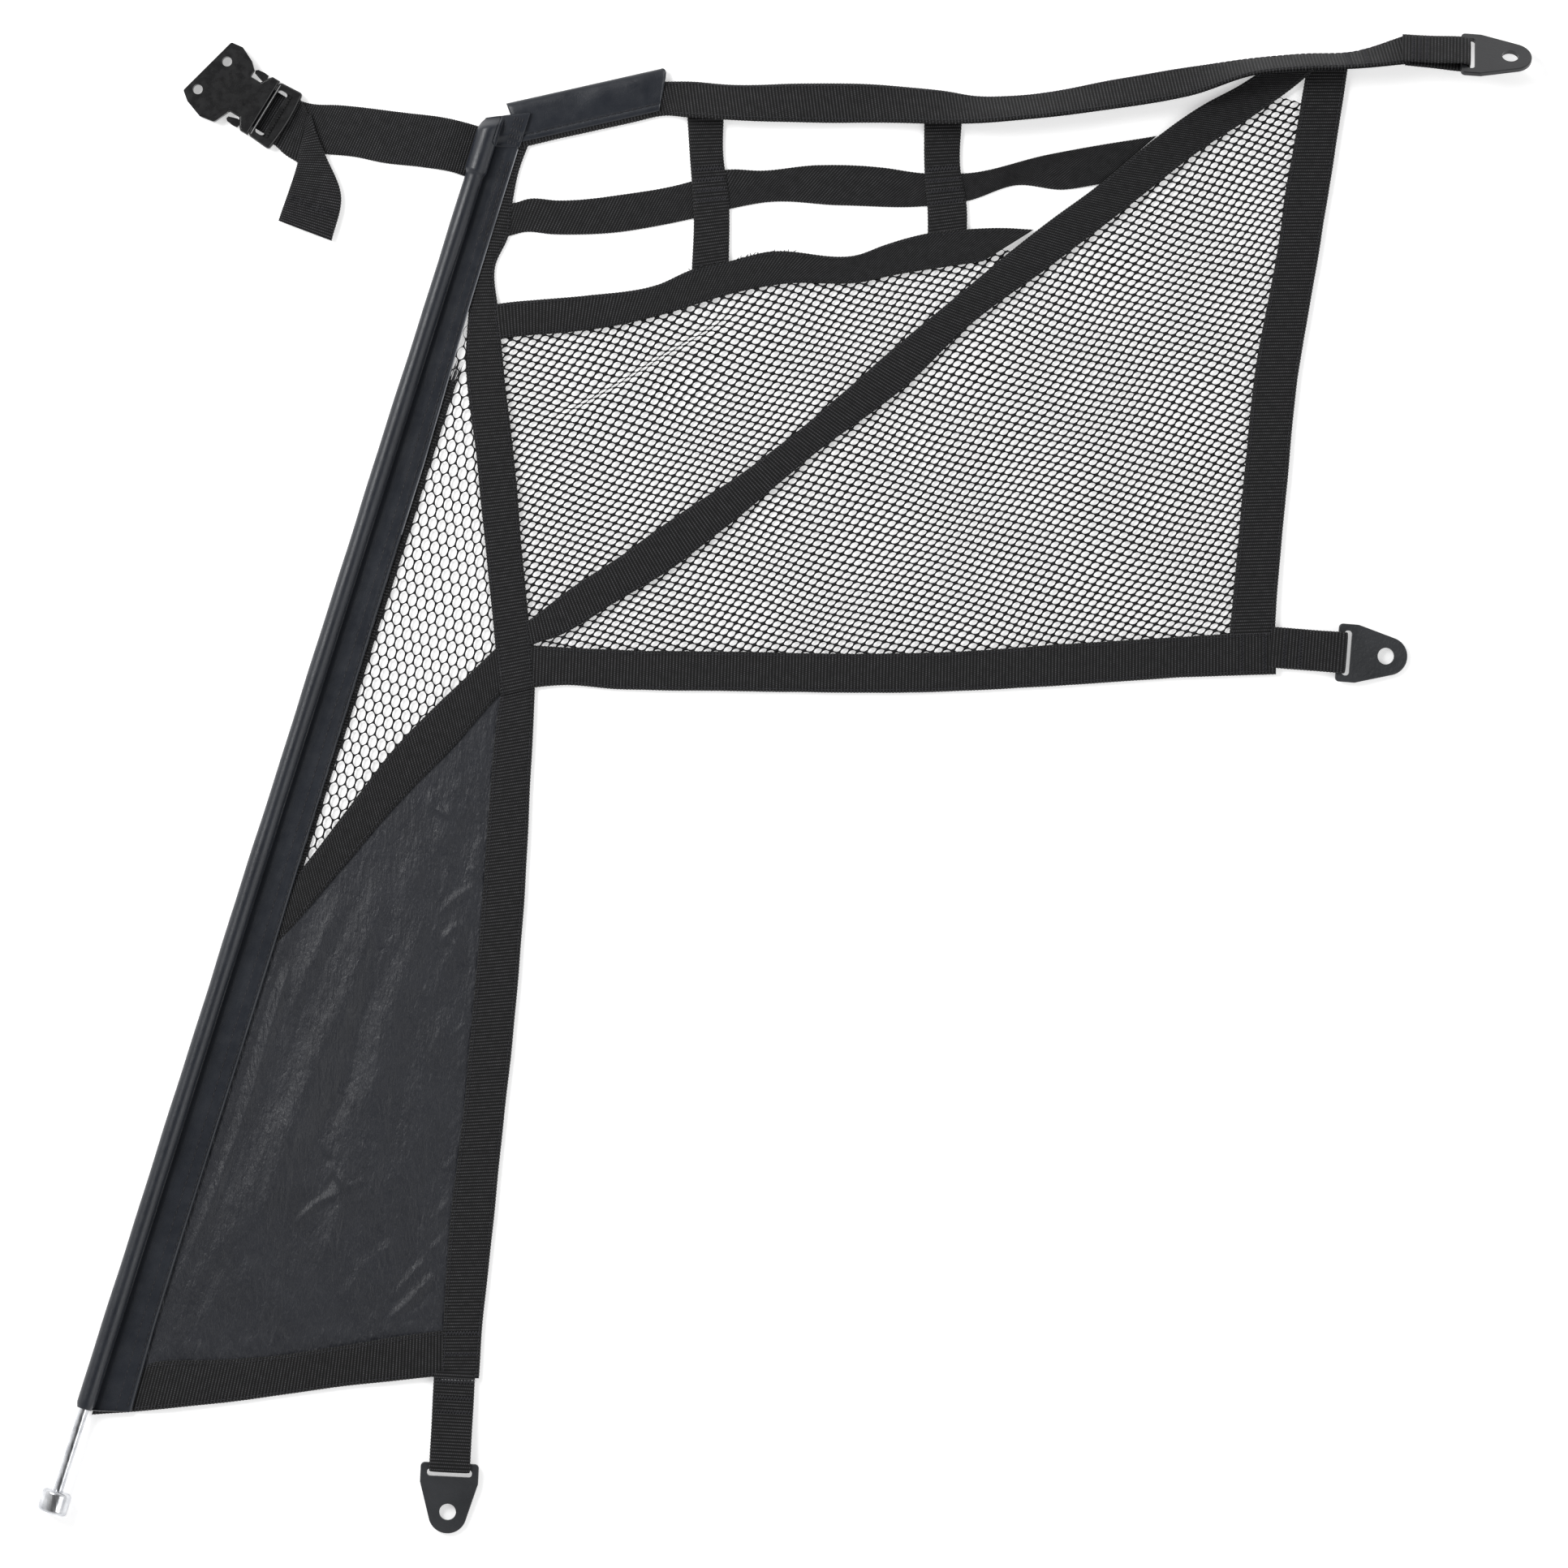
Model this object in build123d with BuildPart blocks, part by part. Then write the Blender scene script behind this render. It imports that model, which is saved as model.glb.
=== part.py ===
from build123d import *
from math import cos, radians, sin
import os

# Side net for the door opening of a small off-road vehicle. Millimetres, lying face up:
# +X towards the rear of the vehicle, +Y towards its roof, +Z out of the net's face.

os.makedirs("parts", exist_ok=True)

# ---- driving dimensions -------------------------------------------------------------
WEB = 1.4                  # one layer of nylon webbing
WEB_WIDTH = 24.5           # 1 inch webbing as woven
BACK = 0.0                 # underside of the back layer of webbing
CORE = WEB                 # underside of what is sewn between the layers
FRONT = 2 * WEB            # underside of the front layer of webbing
STACK = 3 * WEB            # back, core and front together
MESH = 1.0                 # knitted mesh
FABRIC = 0.8               # coated nylon fabric
VINYL = 1.1                # vinyl cover
SEWN_GAP = 0.4             # between pieces that butt on the fold line

LEAN = radians(17.55)      # the rod leans back from +Y
MOUTH = (-419.5, -374.9)   # lower end of the rod sleeve, on the rod's axis
ROD_R = 3.0
ROD_Z = 9.0
SLEEVE_LENGTH = 803.0
FOLD_D = 28.2              # the seam the net folds on, right of the rod's axis
CAP_LENGTH, CAP_R = 27.0, 5.5
CAP_START = 779.0
FOOT_R, FOOT_HEIGHT = 9.0, 14.0
FOOT_CENTRE = -58.6

TAB_WIDTH, TAB_THICK = 35.0, 3.0
TAB_BAR = 3.6              # the bar that the webbing loops round
TAB_SLOT = (4.6, 27.0)
TAB_HOLE_R = 5.0
TAB_HOLE_X = 27.7          # from the middle of the bar
TAB_TIP_X, TAB_TIP_R = 29.2, 11.5
LOOP_INNER_R = 2.6         # inside of the webbing where it turns round the bar
BAR_Z = LOOP_INNER_R + WEB + 0.05

BUCKLE_MOUTH = (-311.95, 405.75)
BUCKLE_TURN = radians(-31.5)
PLATE_THICK, BUCKLE_TOP = 3.0, 8.6
SCREW_R = 3.0
SCREWS = [(-33.2, 12.4), (-39.5, -11.0)]
PRONG_Y, PRONG_HALF = 14.6, 1.15


# ---- frames and shared shapes ---------------------------------------------------------
def on_sleeve(right, up):
    """The XY point that is this far right of the rod's axis and up from the mouth."""
    return (
        MOUTH[0] + right * cos(LEAN) + up * sin(LEAN),
        MOUTH[1] - right * sin(LEAN) + up * cos(LEAN),
    )


def on_seam(up):
    """A point of the net's edge beside the fold line."""
    return on_sleeve(FOLD_D + SEWN_GAP, up)


sleeve_plane = Plane(origin=(*MOUTH, 0), x_dir=(cos(LEAN), -sin(LEAN), 0), z_dir=(0, 0, 1))
rod_plane = Plane(
    origin=(*MOUTH, ROD_Z), x_dir=(cos(LEAN), -sin(LEAN), 0), z_dir=(-sin(LEAN), -cos(LEAN), 0)
)
seam_plane = Plane(
    origin=(*on_sleeve(FOLD_D, 0), 0), x_dir=(sin(LEAN), cos(LEAN), 0), z_dir=(cos(LEAN), -sin(LEAN), 0)
)
buckle_plane = Plane(
    origin=(*BUCKLE_MOUTH, 0), x_dir=(cos(BUCKLE_TURN), sin(BUCKLE_TURN), 0), z_dir=(0, 0, 1)
)


def save(part, label):
    part.label = label
    export_step(part, f"parts/{label}.step")


def flat_solid(points, bottom, thickness, plane=Plane.XY):
    """A flat piece cut to an outline and laid at a height."""
    with BuildPart() as piece:
        with BuildSketch(plane.offset(bottom)):
            with BuildLine():
                Polyline(*points, close=True)
            make_face()
        extrude(amount=thickness)
    return piece.part


def webbing(label, one_edge, other_edge, bottom, plane=Plane.XY):
    """A flat strap between its two edges, both listed from the same end."""
    save(flat_solid([*one_edge, *reversed(other_edge)], bottom, WEB, plane), label)


def twisted_strap(stations, side):
    """One layer of a strap that leans on its edge; side is +1 in front and -1 behind."""
    with BuildPart() as piece:
        for i, (x, y, z, tilt) in enumerate(stations):
            before, after = stations[max(i - 1, 0)], stations[min(i + 1, len(stations) - 1)]
            run = Vector(after[0] - before[0], after[1] - before[1], 0).normalized()
            lean = radians(tilt)
            across = Vector(-run.Y * cos(lean), run.X * cos(lean), -sin(lean))
            with BuildSketch(Plane(origin=(x, y, z), x_dir=across, z_dir=run)):
                with Locations((0, side * (WEB / 2 + 0.15))):
                    Rectangle(WEB_WIDTH, WEB)
        loft(ruled=True)
    return piece.part


def strap_loop(label, plane, length, bar_z):
    """Webbing that runs out from the strap's two layers and turns round a tab's bar."""
    side = Plane(origin=plane.origin, x_dir=plane.x_dir, z_dir=-plane.y_dir)
    with BuildPart() as loop:
        with BuildSketch(side):
            with Locations((length, bar_z)):
                Circle(LOOP_INNER_R + WEB)
            with Locations((0.05, STACK / 2)):
                Rectangle(0.1, STACK)
            make_hull()
        extrude(amount=WEB_WIDTH / 2, both=True)
        with BuildSketch(side):
            with Locations((length, bar_z)):
                Circle(LOOP_INNER_R)
            with Locations((-0.5, STACK / 2)):
                Rectangle(1.0, WEB)
            make_hull()
        extrude(amount=WEB_WIDTH, both=True, mode=Mode.SUBTRACT)
    save(loop.part, label)


def bolt_tab(label, plane):
    """Stamped steel tab: origin in the middle of its bar, x towards its bolt hole."""
    with BuildPart() as tab:
        with BuildSketch(plane.offset(-TAB_THICK / 2)):
            with Locations((-TAB_BAR / 2 + 7.0, 0)):
                RectangleRounded(14.0, TAB_WIDTH, 2.5)
            with Locations((TAB_TIP_X, 0)):
                Circle(TAB_TIP_R)
            make_hull()
            with Locations((TAB_HOLE_X, 0)):
                Circle(TAB_HOLE_R, mode=Mode.SUBTRACT)
            with Locations((TAB_BAR / 2 + TAB_SLOT[0] / 2, 0)):
                RectangleRounded(*TAB_SLOT, 2.0, mode=Mode.SUBTRACT)
        extrude(amount=TAB_THICK)
        for end in (0, -1):
            face = tab.faces().sort_by(Axis(plane.origin, plane.z_dir))[end]
            fillet(face.outer_wire().edges(), 0.6)
    save(tab.part, label)


# ---- top strap, its grab handle and the loop at its end -------------------------------
# Each station is x, y and z of the strap's middle and how far its lower edge is tipped up.
TOP_STRAP = [
    (-158, 396.6, 2.75, 0), (-122, 404.6, 2.75, 0), (-70, 415.2, 2.75, 0), (-50, 410.5, 7.2, 25),
    (17, 409.4, 6.6, 20), (62, 406.6, 8.8, 33), (114.6, 404.4, 10.9, 46), (140.5, 405.6, 11.6, 51),
    (202.4, 414.4, 10.6, 43), (242.2, 421.3, 10.7, 44), (282.1, 430, 12.9, 64), (312, 432.8, 13.0, 65),
    (343, 434.0, 13.2, 64), (373.6, 440.1, 13.6, 44),
]
for label, side in (("top_strap", 1), ("top_strap_back", -1)):
    with BuildPart() as strap:
        add(twisted_strap(TOP_STRAP, side))
        split(bisect_by=seam_plane.offset(SEWN_GAP), keep=Keep.TOP)
    save(strap.part, label)
with BuildPart() as strap_end:
    for side in (1, -1):
        add(twisted_strap(TOP_STRAP[:3], side))
    split(bisect_by=seam_plane.offset(-SEWN_GAP), keep=Keep.BOTTOM)
save(strap_end.part, "top_strap_front_end")

COVER = [(-166.4, 408.9), (-73.3, 429.8), (-70.3, 425.8), (-74.8, 404.1), (-157.5, 385.5)]
COVER_INSIDE = [(-175, 405.5), (-73, 428.4), (-60, 424), (-60, 395), (-150, 375), (-170, 380)]
COVER_HEIGHT = 5.5
for label, shift, keep in (
    ("handle_cover", SEWN_GAP, Keep.TOP),
    ("handle_cover_front_end", -SEWN_GAP, Keep.BOTTOM),
):
    with BuildPart() as cover:
        add(flat_solid(COVER, 0, COVER_HEIGHT))
        add(flat_solid(COVER_INSIDE, VINYL, COVER_HEIGHT - 2 * VINYL), mode=Mode.SUBTRACT)
        split(bisect_by=seam_plane.offset(shift), keep=keep)
    save(cover.part, label)

# ---- flat straps -----------------------------------------------------------------------
webbing(
    "ladder_strap_1",
    [(-58, 406), (-56.3, 377), (-53.8, 347), (-55, 304.5)],
    [(-35.5, 406), (-35.7, 377), (-32.8, 353), (-32.8, 308.5)],
    CORE,
)
webbing(
    "ladder_strap_2",
    [(84.8, 402), (84.8, 367), (86.7, 347), (86.7, 321)],
    [(107.7, 402), (106.7, 369), (110.2, 347), (110.2, 325)],
    CORE,
)
webbing(
    "mid_strap",
    [on_seam(769), (-154, 351.6), (-135, 350.6), (-98, 354), (-54, 362.6), (-34.8, 369), (-12, 368.6),
     (20.7, 372), (60, 370.5), (84.8, 367), (109.8, 367), (159, 378.3), (224.5, 389.5)],
    [on_seam(747), (-155, 331.7), (-138, 330.4), (-101, 331.4), (-53.4, 340), (-31.5, 345.7),
     (-12, 349.4), (33.8, 347.7), (86, 347.3), (110.6, 350.3), (140.5, 359.7), (168.5, 357.2), (191, 360.6)],
    BACK,
)
MESH_EDGE_UPPER = [
    (-165.5, 289), (-118, 293.4), (-75.3, 300), (-54.4, 309.3), (-31.5, 314.3), (-12, 319.3),
    (46.8, 318.5), (60, 323.5), (86, 330.7), (108.3, 333), (134, 334), (150.5, 333),
]
MESH_EDGE_LOWER = [
    (-163.5, 268), (-132.8, 271), (-97.3, 276), (-68, 283.2), (-25, 296), (1, 300.6),
    (46.8, 301.3), (66, 305.5), (94, 310.2), (120, 314),
]
BOTTOM_UPPER = [
    (-146.5, 83), (-100, 80.7), (-31.7, 79.5), (91.7, 79), (163.4, 83.6), (237.4, 88.4), (296, 91.8),
]
BOTTOM_LOWER = [
    (-147.5, 57.8), (-100, 57), (-31.7, 55.9), (54.4, 54.8), (110.4, 56), (185, 60.4), (241, 64), (296, 66),
]
REAR_LEFT = [
    (313, 422), (308, 389.8), (302, 357), (297.5, 324.6), (282, 236.8), (277.5, 190), (272.8, 139.8),
    (268.2, 90.9),
]
REAR_RIGHT = [
    (338.3, 424), (334.8, 401.7), (330.3, 371.8), (323, 326), (308.3, 236.8), (303.6, 190),
    (299, 139.8), (295.2, 92.4),
]
HEM_UPPER = [on_seam(37.5), (-206.9, -328.6)]
HEM_LOWER = [on_seam(6.8), (-328, -370.7), (-262, -361.6), (-206.9, -355.9)]
for suffix, bottom in (("", FRONT), ("_back", BACK)):
    webbing(f"mesh_edge_strap{suffix}", MESH_EDGE_UPPER, MESH_EDGE_LOWER, bottom)
    webbing(f"bottom_strap{suffix}", BOTTOM_UPPER, BOTTOM_LOWER, bottom)
    webbing(f"rear_strap{suffix}", REAR_LEFT, REAR_RIGHT, bottom)
    webbing(f"hem_strap{suffix}", HEM_UPPER, HEM_LOWER, bottom)

webbing(
    "diagonal_strap",
    [(-152.5, 98.5), (-132.8, 114), (-100.5, 135), (-60, 164), (-31.7, 182), (86.3, 278.4), (156.5, 335.6),
     (189, 359.7), (224.5, 388.6), (252.5, 408.2), (275, 420.3)],
    [(-150.4, 84.2), (-137.9, 87), (-100.5, 109.3), (-68, 128.7), (-31.7, 156.2), (17, 196.7), (71.2, 236.8),
     (112.5, 275.9), (159.2, 310.2), (206, 345.7), (252.5, 382), (290, 406.3), (306, 418)],
    FRONT,
)
webbing(
    "centre_strap_upper",
    [on_seam(668), (-184.3, 196.6), (-178.7, 140), (-173.8, 91.5), (-169.8, 54.2)],
    [on_seam(731), (-171.4, 285.6), (-167.3, 245), (-161.7, 196.6), (-156.8, 140), (-152.8, 99.6),
     (-148.9, 60.7)],
    FRONT,
)
webbing(
    "centre_strap_lower",
    [(-170, 49.6), (-175, 8.4), (-180, -62.5), (-187.5, -148.3), (-191, -187.6), (-199.3, -256.8),
     (-206.3, -357)],
    [(-149, 56.8), (-151.2, 11.7), (-158.6, -112), (-168.3, -207.4), (-176, -281.6), (-181, -331),
     (-182.8, -357)],
    FRONT,
)
webbing(
    "brace_strap",
    [(-173.6, 80), (-188.3, 66.4), (-232.8, 22.4), (-262.5, -16.3), on_seam(350)],
    [(-170.6, 54), (-197.6, 23), (-234.4, -14.7), (-262.5, -47.7), on_seam(316)],
    FRONT,
)

# ---- soft panels between the straps ------------------------------------------------------
CENTRE_UPPER_MIDDLE = [(-178.6, 256), (-172.8, 196.6), (-167.6, 140), (-163, 91.5), (-160, 62)]
BRACE_MIDDLE = [(-173, 60), (-193, 44.7), (-233.6, 4), (-262.5, -32)]
save(
    flat_solid(
        [*[(x + 0.5, y) for x, y in CENTRE_UPPER_MIDDLE[::-1]], (-172, 277), (-118, 281), (-88, 285.6),
         (-54, 296), (-12, 306), (46.8, 307.5), (66, 312), (94, 318), (122, 321), (150, 317), (207, 359),
         (252, 395), (290, 412), (322, 412), (315, 357), (310, 324.6), (295, 236.8), (286, 139.8),
         (282, 78), (163, 72), (17, 67), (-139, 71)],
        CORE, MESH,
    ),
    "main_mesh",
)
save(
    flat_solid(
        [on_seam(331), on_seam(655), *CENTRE_UPPER_MIDDLE, *[(x - 0.3, y + 0.3) for x, y in BRACE_MIDDLE]],
        CORE, MESH,
    ),
    "front_mesh",
)
save(
    flat_solid(
        [on_seam(330), on_seam(22), (-300, -353), (-206.7, -342), (-194.5, -340), (-187, -257),
         (-178.5, -187.6), (-168, -62.5), (-160, 45), *[(x + 0.3, y - 0.3) for x, y in BRACE_MIDDLE]],
        CORE, FABRIC,
    ),
    "lower_panel",
)

# ---- rod and the sleeve it lives in ---------------------------------------------------
with BuildPart() as rod:
    with BuildSketch(rod_plane.offset(-FOOT_CENTRE)):
        Circle(ROD_R)
    extrude(amount=-(CAP_START + 20.0 - FOOT_CENTRE))
save(rod.part, "rod")

with BuildPart() as rod_foot:
    with BuildSketch(rod_plane.offset(-FOOT_CENTRE - FOOT_HEIGHT / 2)):
        Circle(FOOT_R)
    extrude(amount=FOOT_HEIGHT)
    rims = rod_foot.edges().filter_by(GeomType.CIRCLE).sort_by(Axis(rod_plane.origin, rod_plane.z_dir))
    fillet(rims[0], 2.6)
    fillet(rims[-1], 2.2)
    with BuildSketch(rod_plane.offset(-FOOT_CENTRE)):
        Circle(ROD_R)
    extrude(amount=-FOOT_HEIGHT, mode=Mode.SUBTRACT)
save(rod_foot.part, "rod_foot")

with BuildPart() as rod_end_cap:
    with BuildSketch(rod_plane.offset(-CAP_START)):
        Circle(CAP_R)
    extrude(amount=-CAP_LENGTH)
    ends = rod_end_cap.edges().filter_by(GeomType.CIRCLE)
    fillet(ends, 1.2)
    with BuildSketch(rod_plane.offset(-CAP_START)):
        Circle(ROD_R)
    extrude(amount=-20.0, mode=Mode.SUBTRACT)
save(rod_end_cap.part, "rod_end_cap")

SLEEVE_R = 5.3
FLANGE_TOP, FLANGE_BOTTOM = 4.4, 2.0
FLANGE_START = 13.0
BULGE_R = 6.7
SLEEVE_PLAN = [
    (-5.3, 0), (6, 0), (27.4, 6.3), (25.4, 60), (25.2, 300), (24, 420), (23.4, 600), (21, 700),
    (20.2, SLEEVE_LENGTH), (-5.3, SLEEVE_LENGTH),
]
with BuildPart() as rod_sleeve:
    with BuildSketch(rod_plane):
        Circle(SLEEVE_R)
        with Locations((FLANGE_START, (FLANGE_TOP + FLANGE_BOTTOM) / 2 - ROD_Z)):
            Rectangle(0.2, FLANGE_TOP - FLANGE_BOTTOM)
        make_hull()
        with Locations((FLANGE_START, FLANGE_BOTTOM - ROD_Z)):
            Rectangle(FOLD_D - FLANGE_START, FLANGE_TOP - FLANGE_BOTTOM, align=(Align.MIN, Align.MIN))
    extrude(amount=-SLEEVE_LENGTH)
    with BuildSketch(sleeve_plane):
        with BuildLine():
            Polyline(*SLEEVE_PLAN, close=True)
        make_face()
    extrude(amount=2 * ROD_Z, mode=Mode.INTERSECT)
    with BuildSketch(rod_plane.offset(-CAP_START + 3.0)):
        Circle(BULGE_R)
    extrude(amount=-(CAP_LENGTH + 6.5))
    with BuildSketch(rod_plane.offset(1.0)):
        Circle(ROD_R + 0.6)
    extrude(amount=-CAP_START - 1.0, mode=Mode.SUBTRACT)
    with BuildSketch(rod_plane.offset(-CAP_START + 0.6)):
        Circle(CAP_R + 0.3)
    extrude(amount=-CAP_LENGTH - 1.2, mode=Mode.SUBTRACT)
save(rod_sleeve.part, "rod_sleeve")

FLAP = [(12.4, 797), (21, 799), (20.8, 823), (9, 820), (9, 811), (12.4, 811)]
save(flat_solid(FLAP, COVER_HEIGHT + 0.1, VINYL, sleeve_plane), "sleeve_end_flap")
BEHIND = 0.4               # what is sewn behind the sleeve lies this high
webbing("front_border_strap", [(6, 34), (6, 655)], [(27.4, 40), (27.4, 655)], BEHIND, sleeve_plane)
webbing("hem_strap_front_end", [(5, -2.8), (27.6, 6.6)], [(5, 28), (27.6, 37)], BEHIND, sleeve_plane)
webbing(
    "centre_strap_top_end",
    [(27.6, 670), (21.4, 696), (4, 758)],
    [(27.6, 730), (25.7, 758)],
    BEHIND,
    sleeve_plane,
)

# ---- strap to the buckle, sewn behind the sleeve ---------------------------------------
BUCKLE_FOLD_D = -9.5       # the strap bends here, left of the rod's axis
webbing(
    "buckle_strap_anchor",
    [(BUCKLE_FOLD_D + SEWN_GAP, 775), (20, 784)],
    [(BUCKLE_FOLD_D + SEWN_GAP, 805.5), (20, 803)],
    BACK,
    sleeve_plane,
)
webbing(
    "buckle_strap",
    [(-293.5, 408), (-285.6, 409.8), (-240, 401.5), on_sleeve(BUCKLE_FOLD_D - SEWN_GAP, 805.5)],
    [(-313, 378), (-275.3, 378.3), (-235, 374), on_sleeve(BUCKLE_FOLD_D - SEWN_GAP, 774.5)],
    BACK,
)
TAIL_LAY = WEB + 0.1       # the tail comes out of the buckle on top of the strap
with BuildPart() as tail:
    add(flat_solid([(-285.8, 411.6), (-282.5, 401.6), (-290.5, 369.5), (-304.8, 378.8)], TAIL_LAY, WEB))
    add(
        flat_solid(
            [(-285.8, 411.6), (-283, 400), (-265.3, 352.3), (-272.5, 325.4), (-303.1, 338.3), (-291, 373.5)],
            TAIL_LAY + WEB, WEB,
        )
    )
    add(flat_solid([(-265.7, 342.7), (-272.5, 325.4), (-303.1, 338.3), (-297.2, 355)], TAIL_LAY, WEB))
save(tail.part, "buckle_strap_tail")

# ---- side-release buckle ---------------------------------------------------------------
PLATE = [(-46.6, -16.0), (-37.0, 23.6), (-29.5, 24.6), (-20.6, 20.4), (-16.5, 16.6), (-17.2, -14.0),
         (-21.0, -22.6), (-30, -24.2), (-41, -20.4)]
SOCKET_BODY = [(-18.2, 14), (-16, 12.2), (-9.5, 12.2), (-7, 16.5), (-5, 18.85), (0, 18.85)]
CAVITY_BOTTOM, CAVITY_TOP = 3.0, 6.6
with BuildPart() as socket:
    with BuildSketch(buckle_plane):
        with BuildLine():
            Polyline(*SOCKET_BODY, *[(x, -y) for x, y in reversed(SOCKET_BODY)], close=True)
        make_face()
    extrude(amount=BUCKLE_TOP)
    rim = socket.faces().sort_by(Axis.Z)[-1].outer_wire().edges()
    fillet(rim, 1.2)
    with BuildSketch(buckle_plane):
        with BuildLine():
            Polyline(*PLATE, close=True)
        make_face()
        fillet(vertices(), 1.5)
    extrude(amount=BUCKLE_TOP)
    with BuildSketch(buckle_plane):
        with BuildLine():
            Polyline(*PLATE, close=True)
        make_face()
        offset(amount=-2.2)
        with Locations((-4, 0)):
            Rectangle(29.5, 80, mode=Mode.SUBTRACT)
    extrude(amount=BUCKLE_TOP - PLATE_THICK, mode=Mode.SUBTRACT)
    with BuildSketch(buckle_plane):
        with Locations(*SCREWS):
            Circle(SCREW_R + 2.0)
    extrude(amount=BUCKLE_TOP)
    with BuildSketch(buckle_plane):
        with Locations(*SCREWS):
            Circle(SCREW_R)
    extrude(amount=BUCKLE_TOP, mode=Mode.SUBTRACT)
    with BuildSketch(buckle_plane.offset(CAVITY_BOTTOM)):
        with Locations((-7.5, 0)):
            Rectangle(19.0, 2 * 16.6)
        with Locations((-11.6, 0)):
            Rectangle(9.4, 60)
    extrude(amount=CAVITY_TOP - CAVITY_BOTTOM, mode=Mode.SUBTRACT)
save(socket.part, "buckle_socket")

FRAME_BOTTOM, FRAME_HEIGHT = 1.6, 6.6
FRAME_END, FRAME_CORNER, FRAME_HALF, FRAME_WAIST = 17.2, 15.6, 19.7, 18.6
PRONG_LOW, PRONG_THICK = 3.3, 3.0
with BuildPart() as frame:
    with BuildSketch(buckle_plane.offset(FRAME_BOTTOM)):
        with BuildLine():
            Polyline(
                (FRAME_CORNER, -FRAME_HALF), (0.4, -FRAME_WAIST), (0.4, FRAME_WAIST), (FRAME_CORNER, FRAME_HALF)
            )
            ThreePointArc((FRAME_CORNER, FRAME_HALF), (FRAME_END, 0), (FRAME_CORNER, -FRAME_HALF))
        make_face()
    extrude(amount=FRAME_HEIGHT)
    fillet(frame.edges().filter_by(Axis.Z), 2.0)
    fillet(frame.faces().sort_by(Axis.Z)[-1].outer_wire().edges(), 1.6)
    with BuildSketch(buckle_plane.offset(FRAME_BOTTOM)):
        with Locations((5.4, 0)):
            RectangleRounded(6.4, 29.6, 2.2)
    extrude(amount=FRAME_HEIGHT, mode=Mode.SUBTRACT)
    with BuildSketch(buckle_plane.offset(FRAME_BOTTOM + FRAME_HEIGHT)):
        with Locations((10.2, 0)):
            Rectangle(3.2, 29.6)
    extrude(amount=-1.2, mode=Mode.SUBTRACT)
    with BuildSketch(buckle_plane.offset(FRAME_BOTTOM + FRAME_HEIGHT - 1.3)):
        with Locations((10.6, 0)):
            with GridLocations(1, 1.8, 1, 16):
                RegularPolygon(1.05, 3)
    extrude(amount=1.2)
    with BuildSketch(buckle_plane.offset(PRONG_LOW)):
        with Locations((-6.0, 0)):
            Rectangle(13.0, 10.0)
    extrude(amount=PRONG_THICK)
save(frame.part, "buckle_frame")

for label, side in (("buckle_prong_upper", 1), ("buckle_prong_lower", -1)):
    arm = [(-0.1, PRONG_HALF), (-0.1, -PRONG_HALF), (-10, -PRONG_HALF), (-15.4, 0.6), (-16.0, 2.2),
           (-14.6, 3.4), (-10.5, 3.9), (-7.6, 3.6), (-7.2, PRONG_HALF)]
    with BuildPart() as prong:
        with BuildSketch(buckle_plane.offset(PRONG_LOW)):
            with BuildLine():
                Polyline(*[(x, side * (PRONG_Y + y)) for x, y in arm], close=True)
            make_face()
        extrude(amount=PRONG_THICK)
    save(prong.part, label)


# ---- bolt tabs and the loops that hold them --------------------------------------------
def tab_plane(bar, turn, tilt=0.0, nose=0.0):
    """The plane of a tab: turn in plan, nose down, then tipped up about its own length."""
    tipped = Location((*bar,), (0, 0, turn)) * Location((0, 0, 0), (tilt, 0, 0))
    return Plane(tipped * Location((0, 0, 0), (0, nose, 0)))


def loop_plane(bar, turn, length, tilt=0.0, sink=BAR_Z):
    """The plane of a loop that ends at this bar; sink is the bar's height above the plane."""
    return Plane(
        Location((*bar,), (0, 0, turn)) * Location((0, 0, 0), (tilt, 0, 0)) * Location((-length, 0, -sink))
    )


REST_NOSE = 3.5            # a tab on a flat surface lies nose down by this angle
LOWER_BAR, LOWER_TURN, LOWER_LENGTH = (334.4, 79.0, BAR_Z), -4.5, 37.0
FOOT_BAR, FOOT_TURN, FOOT_LENGTH = (-200.2, -409.6, BAR_Z), -92.9, 51.6
TOP_BAR, TOP_TURN, TOP_LENGTH, TOP_TILT = (408.3, 437.6, 13.7), -4.2, 32.2, -44.0

bolt_tab("bolt_tab_lower_rear", tab_plane(LOWER_BAR, LOWER_TURN, nose=REST_NOSE))
bolt_tab("bolt_tab_bottom", tab_plane(FOOT_BAR, FOOT_TURN, nose=REST_NOSE))
bolt_tab("bolt_tab_top_rear", tab_plane(TOP_BAR, TOP_TURN, tilt=TOP_TILT))
strap_loop("strap_loop_lower_rear", loop_plane(LOWER_BAR, LOWER_TURN, LOWER_LENGTH), LOWER_LENGTH, BAR_Z)
strap_loop("strap_loop_bottom", loop_plane(FOOT_BAR, FOOT_TURN, FOOT_LENGTH), FOOT_LENGTH, BAR_Z)
strap_loop(
    "strap_loop_top_rear",
    loop_plane(TOP_BAR, TOP_TURN, TOP_LENGTH, TOP_TILT, STACK / 2),
    TOP_LENGTH,
    STACK / 2,
)
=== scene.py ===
from math import cos, pi, radians, sin, sqrt

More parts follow.
